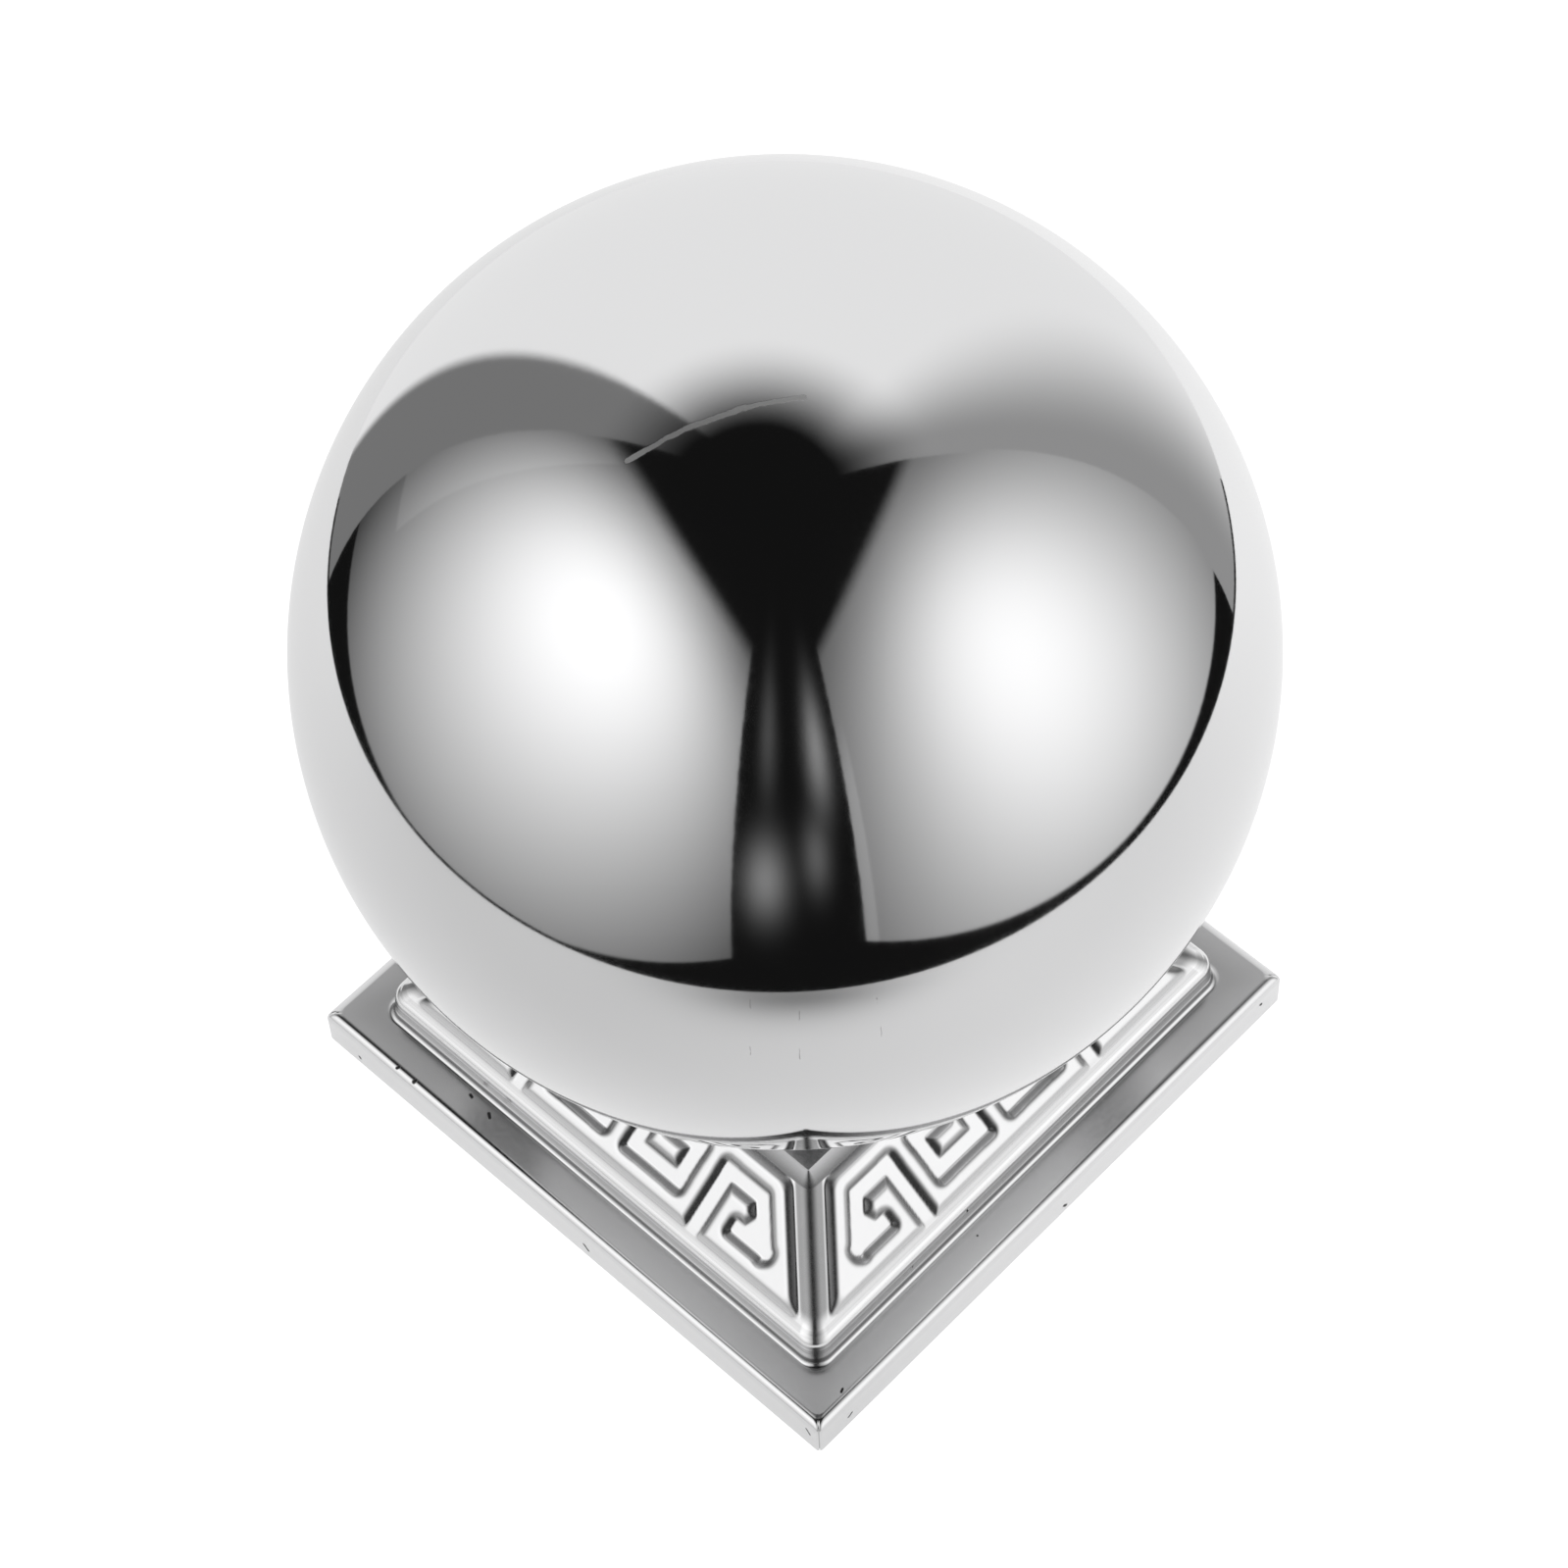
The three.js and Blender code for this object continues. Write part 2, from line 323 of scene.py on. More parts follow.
def scratch_group():
    """A scratch along a straight stretch between two points; a pit where they coincide."""
    group, source, result = new_group(
        "scratch", ("Position", "Start", "Run"), {"Width": 0.2 * MM}, ("Mask",),
    )
    place, run = source.outputs["Position"], source.outputs["Run"]
    wobble = add_node(group, "ShaderNodeTexNoise", {}, Vector=place, Scale=WOBBLE_SCALE, Detail=2.0)
    centred = vector_math(group, "SUBTRACT", wobble.outputs["Color"], (0.5, 0.5, 0.5)).outputs[0]
    shift = vector_math(group, "SCALE", centred)
    set_inputs(group, shift, {"Scale": WOBBLE})
    moved = vector_math(group, "ADD", place, shift.outputs[0]).outputs[0]
    offset = vector_math(group, "SUBTRACT", moved, source.outputs["Start"]).outputs[0]
    square = calculate(group, "MAXIMUM", dot(group, run, run), LEAST_SQUARE)
    along = calculate(group, "DIVIDE", dot(group, offset, run), square)
    nearest = vector_math(group, "SCALE", run)
    set_inputs(group, nearest, {"Scale": add_node(group, "ShaderNodeClamp", {}, Value=along).outputs[0]})
    gap = vector_math(group, "DISTANCE", offset, nearest.outputs[0]).outputs["Value"]
    ratio = calculate(group, "DIVIDE", gap, source.outputs["Width"])
    set_inputs(group, result, {"Mask": ramp(group, ratio, 0.5, 1.0, 1.0, 0.0)})
    return group


def heading_vector(bearing, height=0.0):
    """A direction by its bearing from the front and its height above level, in radians."""
    return Vector((
        math.sin(bearing) * math.cos(height), -math.cos(bearing) * math.cos(height), math.sin(height),
    ))


def on_ball(bearing, height):
    """A point on the ball by its bearing from the front and its angle above level, in degrees."""
    outwards = heading_vector(math.radians(bearing), math.radians(height))
    return Vector((0.0, 0.0, BALL_CENTRE)) + outwards * BALL_RADIUS


# Dull places, which the polishing wheel has not reached, darkened by painted shade, the drawn lower
# part of the slopes brightened by a painted highlight, and marks: shares of the colour, roughness
# added, and how fine, deep and dark the drawn lines are
PAINTED_SHADE_SHARE = 0.28
DULL_ROUGHNESS = 0.14
PAINTED_HIGHLIGHT_SHARE = 1.2
DRAWN_LINES_PER_METRE = 1700.0
DRAWN_HEIGHT = 45.0
DRAWN_DARK = 0.2
MARK_ROUGHNESS = 0.3

# Marks on the ball: from, to, as bearing and height in degrees, and width
BALL_SCRATCHES = (
    ((-7.3, 70.3), (1.1, 77.0), 0.40 * MM),
    ((1.1, 77.0), (25.2, 82.0), 0.44 * MM),
    ((25.2, 82.0), (73.1, 82.5), 0.34 * MM),
    ((40.0, 15.4), (39.7, 6.5), 0.06 * MM),
    ((45.3, 13.9), (45.1, 5.6), 0.07 * MM),
    ((54.0, 14.5), (54.2, 8.0), 0.06 * MM),
)

# Pits and nicks in the cap: place, run and width, in millimetres
CAP_MARKS = (
    ((-15.6, -35.6, 5.4), (0.5, -0.25, 0.0), 0.3),
    ((-18.9, -35.3, 5.4), (0.35, -0.1, 0.0), 0.25),
    ((-25.0, -38.5, 5.25), (0.1, 0.4, 0.0), 0.3),
    ((-27.7, -38.5, 5.25), (0.1, 0.3, 0.0), 0.25),
    ((2.9, -39.1, 2.3), (0.6, 0.0, -0.6), 0.28),
    ((-33.8, -39.1, 1.5), (0.1, 0.0, -0.2), 0.28),
    ((37.2, -39.1, 3.5), (0.5, 0.0, -0.8), 0.2),
    ((39.1, 1.3, 1.6), (0.0, 0.3, -0.4), 0.3),
    ((39.1, 35.4, 3.4), (0.0, 0.1, -0.2), 0.3),
    ((39.1, -34.4, 1.9), (0.0, 0.5, 0.3), 0.2),
    ((35.8, -9.6, 5.4), (0.0, 0.0, 0.0), 0.2),
    ((37.5, -33.6, 5.4), (0.1, -0.3, 0.0), 0.2),
    ((34.0, -18.2, 7.6), (0.0, 0.0, 0.2), 0.2),
    ((33.8, -9.1, 8.0), (0.0, 0.0, 0.3), 0.2),
)


def steel_material(name, base, roughness, lines, waves, marks, mark_colour, tools):
    """Polished steel with wheel lines, haze, gentle waves, scratches and pits.

    Its UV map says how dull a place is, which also darkens its colour as painted shade, and
    how strongly drawing lines show, which also lightens its colour as a painted highlight.
    """
    polish, scratch = tools
    material, tree, shader = new_material(name, Metallic=1.0)
    place = add_node(tree, "ShaderNodeTexCoord").outputs["Object"]
    finish = add_group(
        tree, polish, Position=place, Roughness=roughness,
        Line_Scale=lines[0], Line_Height=lines[1], Wave_Scale=waves[0], Wave_Height=waves[1],
    )
    wear_and_shade = 0.0
    for start, run, width in marks:
        mask = add_group(tree, scratch, Position=place, Start=start, Run=run, Width=width).outputs[0]
        wear_and_shade = calculate(tree, "MAXIMUM", wear_and_shade, mask)
    map_node = add_node(tree, "ShaderNodeUVMap", {"uv_map": FINISH_MAP})
    split = add_node(tree, "ShaderNodeSeparateXYZ", {}, _0=map_node.outputs[0])
    dull_and_shade, drawn_and_highlight = split.outputs[0], split.outputs[1]
    # Dull places take a darker colour as painted shade, drawn places a lighter one as a painted
    # highlight.
    painted_shade_tint = tuple(channel * PAINTED_SHADE_SHARE for channel in base)
    bright = tuple(min(channel * PAINTED_HIGHLIGHT_SHARE, 1.0) for channel in base)
    tint = (*base, 1.0)
    level = add_node(tree, "ShaderNodeSeparateXYZ", {}, _0=place).outputs[2]
    drawing = add_node(
        tree, "ShaderNodeTexNoise", {"noise_dimensions": "1D"}, W=level,
        Scale=DRAWN_LINES_PER_METRE, Detail=3.0,
    ).outputs[0]
    # The drawn lines' furrows add to the dull places and so to their painted shade.
    furrow = calculate(tree, "MULTIPLY", ramp(tree, drawing, 0.55, 0.35), drawn_and_highlight)
    dull_and_shade = calculate(tree, "MULTIPLY_ADD", furrow, DRAWN_DARK, dull_and_shade)
    dull_and_shade = calculate(tree, "MINIMUM", dull_and_shade, 1.0)
    for share, goal in ((drawn_and_highlight, bright), (dull_and_shade, painted_shade_tint), (wear_and_shade, mark_colour)):
        node = add_node(
            tree, "ShaderNodeMix", {"data_type": "RGBA"}, _0=share, _6=tint, _7=(*goal, 1.0),
        )
        tint = node.outputs[2]
    rough = calculate(tree, "MULTIPLY_ADD", wear_and_shade, MARK_ROUGHNESS, finish.outputs["Roughness"])
    rough = calculate(tree, "MULTIPLY_ADD", dull_and_shade, DULL_ROUGHNESS, rough)
    drawing = calculate(tree, "MULTIPLY", calculate(tree, "MULTIPLY", drawing, drawn_and_highlight), DRAWN_HEIGHT)
    height = calculate(tree, "ADD", finish.outputs["Height"], drawing)
    height = calculate(tree, "SUBTRACT", height, wear_and_shade)
    bump = add_node(tree, "ShaderNodeBump", {}, Strength=1.0, Distance=0.001 * MM, Height=height)
    set_inputs(tree, shader, {"Base Color": tint, "Roughness": rough, "Normal": bump.outputs[0]})
    return material


# Mesh tools

FINISH_MAP = "finish"


def smooth_min(a, b, blend):
    """The lower of two distances, with the crease between them rounded off."""
    share = np.clip(0.5 + 0.5 * (b - a) / blend, 0.0, 1.0)
    return b + (a - b) * share - blend * share * (1.0 - share)


# The bend from which on a band's outer corner is closed by a round join
ACUTE_BEND = math.radians(100)


def mitre_reach(before, here, after, half_width):
    """How far a band has to run past a bend for its outer corner to close.

    It stops at a bend sharper than ACUTE_BEND, which is closed by a round join.
    """
    if before is None or after is None:
        return half_width
    into = np.array(here) - np.array(before)
    out = np.array(after) - np.array(here)
    bend = math.acos(np.clip(into @ out / (np.linalg.norm(into) * np.linalg.norm(out)), -1.0, 1.0))
    return half_width * math.tan(bend / 2) if bend < ACUTE_BEND else 0.0


def to_band(across, up, path, half_width, corner):
    """Distance from points to each straight stretch of a band with closed corners."""
    points = [None, *path, None]
    for i in range(1, len(path)):
        start, end = np.array(points[i]), np.array(points[i + 1])
        before = mitre_reach(points[i - 1], points[i], points[i + 1], half_width)
        after = mitre_reach(points[i], points[i + 1], points[i + 2], half_width)
        run = end - start
        reach = np.linalg.norm(run)
        run = run / reach
        offset = np.stack([across - start[0], up - start[1]], axis=-1)
        middle = (reach + after - before) / 2
        along = np.abs(offset @ run - middle) - (reach + after + before) / 2 + corner
        beside = np.abs(offset[..., 0] * run[1] - offset[..., 1] * run[0]) - half_width + corner
        outside = np.hypot(np.maximum(along, 0.0), np.maximum(beside, 0.0))
        yield outside + np.minimum(np.maximum(along, beside), 0.0) - corner


def beside_hip(cap, up, margin):
    """Distance across to a line along the hip, a margin away from it in the slope."""
    run = math.cos(cap.slope_angle)
    top_half = HALF_SIDE - cap.ledge_width - cap.riser_run
    return top_half - up * run - margin * math.hypot(1.0, run)


def band_paths(cap, fret):
    """Middle lines of the sunk band on one half of a slope, as points across and up."""
    low = fret.sill + fret.band_inset
    high = cap.slope_length - fret.head - fret.band_inset
    beside = fret.hip_margin + fret.band_inset
    corner = (beside_hip(cap, low, beside), low)
    key = [
        (fret.channel, 0.0),
        (fret.channel, high),
        (beside_hip(cap, high, beside), high),
        corner,
        (fret.outer_hook_end, low),
    ]
    heel = [corner, (fret.outer_hook_end + fret.heel_across, low + fret.heel_up)]
    inner = [
        (fret.inner_arm, high),
        (fret.inner_arm, low),
        (fret.outer_arm, low),
        (fret.outer_arm, high),
        (fret.inner_hook_end, high),
    ]
    return key, heel, inner


def to_bands(across, up, paths, fret):
    """Distance from points to the floors of the sunk bands along several paths."""
    nearest = None
    for path in paths:
        for gap in to_band(across, up, path, fret.band_width / 2, fret.floor_corner):
            nearest = gap if nearest is None else smooth_min(nearest, gap, fret.corner_blend)
    return nearest


def to_tip(across, up, before, corner, after, half_width, reach):
    """Distance from points to the tapered, rounded tip of a band's acute corner."""
    corner = np.array(corner)
    back = (np.array(before) - corner) / np.linalg.norm(np.array(before) - corner)
    ahead = (np.array(after) - corner) / np.linalg.norm(np.array(after) - corner)
    outwards = -(back + ahead) / np.linalg.norm(back + ahead)
    taper = math.sqrt((1.0 - back @ ahead) / 2)
    offset = np.stack([across - corner[0], up - corner[1]], axis=-1)
    along = np.clip(offset @ outwards, 0.0, reach)
    beside = offset - along[..., None] * outwards
    return np.hypot(beside[..., 0], beside[..., 1]) - half_width + along * taper


def fret_share(cap, fret, across, up):
    """How far up the fret's walls points across and up a slope are, from 0 to 1."""
    across = np.abs(across)
    key, heel, inner = band_paths(cap, fret)
    to_join = to_tip(across, up, *key[2:5], fret.band_width / 2, fret.heel_reach)
    to_floor = smooth_min(to_bands(across, up, [key, heel, inner], fret), to_join, fret.corner_blend)
    lean = math.hypot(1.0, math.cos(cap.slope_angle))
    from_hip = (beside_hip(cap, up, 0.0) - across) / lean - fret.hip_margin
    from_head = cap.slope_length - fret.head - up
    panel = smooth_min(smooth_min(up - fret.sill, from_head, 0.1 * MM), from_hip, fret.panel_blend)
    return np.clip(np.minimum(to_floor, panel) / fret.wall, 0.0, 1.0)


def step_between(value, low, high):
    """A smooth step from 0 to 1 as a value goes from low to high."""
    share = np.clip((value - low) / (high - low), 0.0, 1.0)
    return share * share * (3.0 - 2.0 * share)


# Points round a corner, which of them lie in its parting line, and a side's share of a quarter loop
CORNER_TURNS = np.radians([0, 12, 24, 33, 39, 42, 45, 48, 51, 57, 66, 78])
SLIT_TURNS = np.isin(np.round(np.degrees(CORNER_TURNS)), (42, 45, 48))
SIDE_SHARE = 0.9


class Ring:
    """A closed loop of points round the cap, with each point's place along the loop.

    finish holds two numbers for each point: how dull it is, which also darkens its colour as
    painted shade, and how strongly it shows the lines left by drawing the sheet, which also
    lightens its colour as a painted highlight.
    """

    def __init__(self, points, places, finish=None):
        self.points = points
        self.places = places
        self.finish = np.zeros((len(points), 2)) if finish is None else finish


def square_ring(half, corner, height, columns, slit=0.0, lift=None, wear_and_shade=0.0, drawn_and_highlight=0.0):
    """A square loop with round corners.

    lift gives the push outwards and the finish at places across a side. The last two
    arguments, dullness with its painted shade and drawn lines with their painted highlight,
    are the corners' finish, and the sides' where there is no lift.
    """
    corner = min(corner, half)
    reach = half - corner
    across = np.linspace(-reach, reach, columns + 1)[:-1]
    side = np.stack([across, np.full(columns, -half), np.full(columns, height)], axis=-1)
    side_finish = np.tile([0.0 if lift is not None else wear_and_shade, drawn_and_highlight], (columns, 1))
    if lift is not None:
        push, dull_and_shade = lift(across)
        side = side + push
        side_finish[:, 0] = dull_and_shade
    arc_finish = np.tile([wear_and_shade, drawn_and_highlight], (len(CORNER_TURNS), 1))
    radius = np.where(SLIT_TURNS, corner - slit, corner)
    arc = np.stack([
        reach + radius * np.sin(CORNER_TURNS),
        -reach - radius * np.cos(CORNER_TURNS),
        np.full(len(CORNER_TURNS), height),
    ], axis=-1)
    quarter = np.concatenate([side, arc])
    side_places = np.arange(columns) / columns * SIDE_SHARE
    arc_places = SIDE_SHARE + np.degrees(CORNER_TURNS) / 90.0 * (1.0 - SIDE_SHARE)
    places = np.concatenate([side_places, arc_places])
    quarter_finish = np.concatenate([side_finish, arc_finish])
    points, loop = [], []
    for number in range(4):
        angle = number * math.pi / 2
        spin = np.array([
            [math.cos(angle), -math.sin(angle), 0.0],
            [math.sin(angle), math.cos(angle), 0.0],
            [0.0, 0.0, 1.0],
        ])
        points.append(quarter @ spin.T)
        loop.append((places + number) / 4)
    return Ring(np.concatenate(points), np.concatenate(loop), np.tile(quarter_finish, (4, 1)))


def round_ring(radius, height, count):
    """A round loop that starts where the square ones start."""
    places = np.arange(count) / count
    angle = places * 2 * math.pi - math.pi * 0.75
    points = np.stack([
        radius * np.cos(angle), radius * np.sin(angle), np.full(count, height),
    ], axis=-1)
    return Ring(points, places)


def bridge(rings, first, last):
    """Points and faces of the skin through a row of loops, closed at both ends by poles if given."""
    points = np.concatenate([ring.points for ring in rings])
    finish = np.concatenate([ring.finish for ring in rings])
    faces = []
    start = 0
    for low, high in zip(rings, rings[1:]):
        count, above = len(low.points), len(high.points)
        next_start = start + count
        if count == above:
            i = np.arange(count)
            j = (i + 1) % count
            quads = np.stack([start + i, start + j, next_start + j, next_start + i], axis=-1)
            faces.extend(quads.tolist())
        else:
            a, b = 0, 0
            while a < count or b < above:
                low_next = low.places[a + 1] if a + 1 < count else 1.0 + low.places[0]
                high_next = high.places[b + 1] if b + 1 < above else 1.0 + high.places[0]
                here, there = start + a % count, next_start + b % above
                if b >= above or (a < count and low_next <= high_next):
                    faces.append((here, start + (a + 1) % count, there))
                    a += 1
                else:
                    faces.append((here, next_start + (b + 1) % above, there))
                    b += 1
        start = next_start
    poles = []
    for end, place in ((0, first), (1, last)):
        if place is None:
            continue
        ring = rings[-1] if end else rings[0]
        base = len(points) - len(ring.points) if end else 0
        pole = len(points) + len(poles)
        poles.append(place)
        for i in range(len(ring.points)):
            j = (i + 1) % len(ring.points)
            faces.append((base + i, base + j, pole) if end else (base + j, base + i, pole))
    if poles:
        points = np.concatenate([points, np.array(poles)])
        finish = np.concatenate([finish, np.zeros((len(poles), 2))])
    return points, faces, finish


def make_object(name, points, faces, material, finish=None):
    """A smooth shaded mesh object at the origin. finish fills its UV map."""
    mesh = bpy.data.meshes.new(name)
    mesh.from_pydata(points.tolist(), [], faces)
    mesh.validate()
    mesh.shade_smooth()
    mesh.materials.append(material)
    if finish is not None:
        corners = np.zeros(len(mesh.loops), dtype=np.int32)
        mesh.loops.foreach_get("vertex_index", corners)
        layer = mesh.uv_layers.new(name=FINISH_MAP)
        layer.data.foreach_set("uv", finish[corners].astype(np.float32).ravel())
    item = bpy.data.objects.new(name, mesh)
    bpy.context.scene.collection.objects.link(item)
    return item


# From the ends of an arc to its guard points
GUARD = 0.08 * MM


def rounded(corners, radii, steps):
    """A section's corner points with each inner corner replaced by an arc.

    A guard point on either side of each arc keeps the flat parts flat when shaded.
    """
    corners = [np.array(point, float) for point in corners]
    rows = [corners[0]]
    for i in range(1, len(corners) - 1):
        back = corners[i - 1] - corners[i]
        ahead = corners[i + 1] - corners[i]
        back = back / np.linalg.norm(back)
        ahead = ahead / np.linalg.norm(ahead)
        half_angle = math.acos(np.clip(back @ ahead, -1.0, 1.0)) / 2
        reach = radii[i - 1] / math.tan(half_angle)
        middle = back + ahead
        middle = middle / np.linalg.norm(middle)
        centre = corners[i] + middle * radii[i - 1] / math.sin(half_angle)
        start = corners[i] + back * reach - centre
        end = corners[i] + ahead * reach - centre
        sweep = math.pi - 2 * half_angle
        rows.append(centre + start + back * GUARD)
        for step in range(steps + 1):
            share = step / steps
            direction = (start * math.sin(sweep * (1 - share)) + end * math.sin(sweep * share))
            rows.append(centre + direction / math.sin(sweep))
        rows.append(centre + end + ahead * GUARD)
    rows.append(corners[-1])
    return rows


def slope_lift(cap, fret, up):
    """A function that gives the fret's push and finish at a height up the front slope."""
    outwards = np.array([0.0, -math.sin(cap.slope_angle), math.cos(cap.slope_angle)])

    def push(across):
        share = fret_share(cap, fret, across, np.full(len(across), up))
        lift = fret.relief * np.sin(share * math.pi / 2)
        # The low part of the fret walls, the sill strip and the hips are dulled and darkened with
        # painted shade.
        dull_and_shade = step_between(share, 0.0, 0.12) * (1.0 - step_between(share, 0.3, 1.0))
        on_sill = step_between(up, fret.sill + 0.4 * fret.wall, fret.sill + 0.9 * fret.wall)
        strip = SILL_DULL_AND_SHADE * (1.0 - step_between(up, fret.sill, fret.sill + 0.6 * fret.wall))
        lean = math.hypot(1.0, math.cos(cap.slope_angle))
        from_hip = (beside_hip(cap, up, 0.0) - np.abs(across)) / lean
        hip = 1.0 - step_between(from_hip, fret.hip_margin - 0.35 * MM, fret.hip_margin)
        hip = HIP_DULL_AND_SHADE * hip * step_between(up, fret.sill, 2 * fret.sill)
        dull_and_shade = WALL_DULL_AND_SHADE * dull_and_shade * (0.3 + 0.7 * on_sill)
        return lift[:, None] * outwards, np.maximum(np.maximum(dull_and_shade, strip), hip)

    return push


# How dull the ledge, bevel, hips, sill, riser's top and fret walls are and how much painted shade
# darkens them, from 0 to 1
LEDGE_DULL_AND_SHADE = 0.52
BEVEL_DULL_AND_SHADE = 0.95
HIP_DULL_AND_SHADE = 0.8
SILL_DULL_AND_SHADE = 0.2
RISER_TOP_DULL_AND_SHADE = 0.1
WALL_DULL_AND_SHADE = 0.85

# Columns on each side of the cap, rows up its slopes, and steps round its bends, the bevel's
# edges, the neck's flare and the ball's seat
COARSE_COLUMNS = 24
FINE_COLUMNS = 256
FINE_ROWS = 60
INNER_COLUMNS = 96
INNER_ROWS = 24
NECK_COLUMNS = 144
BEND_STEPS = 6
EDGE_STEPS = 3
FLARE_STEPS = 6
SEAT_STEPS = 5

# How many points rounded gives an arc beyond its steps: one to end it, and two guard points
ARC_EXTRA = 3

# Where the riser's finish changes above its foot fillet, from a dark line of painted shade to drawn
# lines with a painted highlight, and where the corner's slit ends
FOOT_CLIMBS = (0.1 * MM, 0.35 * MM, 0.55 * MM, 0.8 * MM, 1.2 * MM)
SLIT_END = 0.5 * MM
SHARPEST_CORNER = 0.1 * MM


def slope_rings(cap, fret, low, high, corner, columns, rows):
    """Loops up the four slopes from one height to another, pushed out by the fret."""
    top_half = HALF_SIDE - cap.ledge_width - cap.riser_run
    rings = []
    for share in np.linspace(0.0, 1.0, rows + 1):
        half, height = np.array(low) + (np.array(high) - np.array(low)) * share
        up = (top_half - half) / math.cos(cap.slope_angle)
        # The strip below the sill shows drawn lines and a painted highlight; the hips get dullness and
        # painted shade.
        drawn_and_highlight = 1.0 - step_between(up, 0.6 * fret.sill, fret.sill + 0.6 * fret.wall)
        foot_corner = max(corner + cap.foot_corner - cap.hip_corner, corner)
        radius = foot_corner + (corner - foot_corner) * step_between(up, 0.0, 2 * fret.sill)
        rings.append(square_ring(
            half, radius, height, columns, lift=slope_lift(cap, fret, up),
            wear_and_shade=HIP_DULL_AND_SHADE * step_between(up, fret.sill, 2 * fret.sill), drawn_and_highlight=drawn_and_highlight,
        ))
    return rings


def bowl_rings(radius, rim, count, steps):
    """Loops of the shallow bowl that the ball sits in, from its rim to its middle."""
    rings = []
    widest = math.asin(rim / radius)
    for step in range(steps):
        angle = widest * (1 - step / steps)
        height = BALL_CENTRE - radius * math.cos(angle)
        rings.append(round_ring(radius * math.sin(angle), height, count))
    return rings


def skirt_rings(cap, foot):
    """Loops up the skirts and across the ledge, to its foot."""
    section = rounded(
        [(HALF_SIDE - cap.sheet, 0.0), (HALF_SIDE, 0.0), (HALF_SIDE, cap.skirt_height),
         (foot + MM, cap.skirt_height)],
        [cap.edge_radius, cap.bend_radius], BEND_STEPS,
    )
    rings = []
    for half, height in section[1:]:
        share = np.clip((HALF_SIDE - half) / cap.ledge_width, 0.0, 1.0)
        corner = cap.skirt_corner + (cap.foot_corner - cap.skirt_corner) * share
        left = np.clip((cap.skirt_height - height) / SLIT_END, 0.0, 1.0)
        # The ledge is dulled and darkened with painted shade.
        wear_and_shade = LEDGE_DULL_AND_SHADE * step_between(share, 0.1, 0.35)
        rings.append(square_ring(
            half, corner, height, COARSE_COLUMNS, slit=cap.slit_depth * left, wear_and_shade=wear_and_shade,
        ))
    return rings


def riser_rings(cap, foot, section):
    """Loops up the riser's section, with extra ones above its foot fillet."""
    rings = []
    arc_points = BEND_STEPS + ARC_EXTRA
    for number, (half, height) in enumerate(section):
        above = height - cap.skirt_height
        # Up the riser: a band of painted shade low down, drawn lines with a painted highlight above it,
        # and dullness with painted shade at its foot and top.
        drawn_and_highlight = step_between(above, 0.9 * MM, 1.3 * MM)
        wear_and_shade = step_between(above, 0.35 * MM, 0.45 * MM)
        wear_and_shade = wear_and_shade * (1.0 - step_between(above, 0.95 * MM, 1.3 * MM))
        wear_and_shade = max(wear_and_shade, LEDGE_DULL_AND_SHADE * (1.0 - step_between(above, 0.0, 0.1 * MM)))
        wear_and_shade = max(wear_and_shade, RISER_TOP_DULL_AND_SHADE * step_between(above, 2.2 * MM, 3.0 * MM))
        columns = COARSE_COLUMNS if number < arc_points else FINE_COLUMNS
        rings.append(square_ring(
            half, cap.foot_corner, height, columns, wear_and_shade=wear_and_shade, drawn_and_highlight=drawn_and_highlight,
        ))
        if number == arc_points - 1:
            # Extra loops above the foot fillet: a dark line of painted shade, then drawn lines with a
            # painted highlight.
            for climb in FOOT_CLIMBS:
                lift = cap.foot_fillet + GUARD + climb
                rings.append(square_ring(
                    foot - cap.riser_run * lift / cap.riser_height, cap.foot_corner,
                    cap.skirt_height + lift, COARSE_COLUMNS,
                    wear_and_shade=1.0 - step_between(climb, 0.3 * MM, 0.6 * MM),
                    drawn_and_highlight=step_between(climb, 0.3 * MM, 0.8 * MM),
                ))
    return rings


def neck_rings(cap, plate):
    """Loops up the neck from its flare on the plate, and down into the ball's seat."""
    rings = []
    for step in range(FLARE_STEPS + 1):
        angle = step / FLARE_STEPS * math.pi / 2
        radius = cap.neck_radius + cap.neck_flare * (1 - math.sin(angle))
        rings.append(round_ring(radius, plate + cap.neck_flare * (1 - math.cos(angle)), NECK_COLUMNS))
    rings.extend(bowl_rings(BALL_RADIUS + cap.seat_clearance, cap.neck_radius, NECK_COLUMNS, SEAT_STEPS))
    return rings


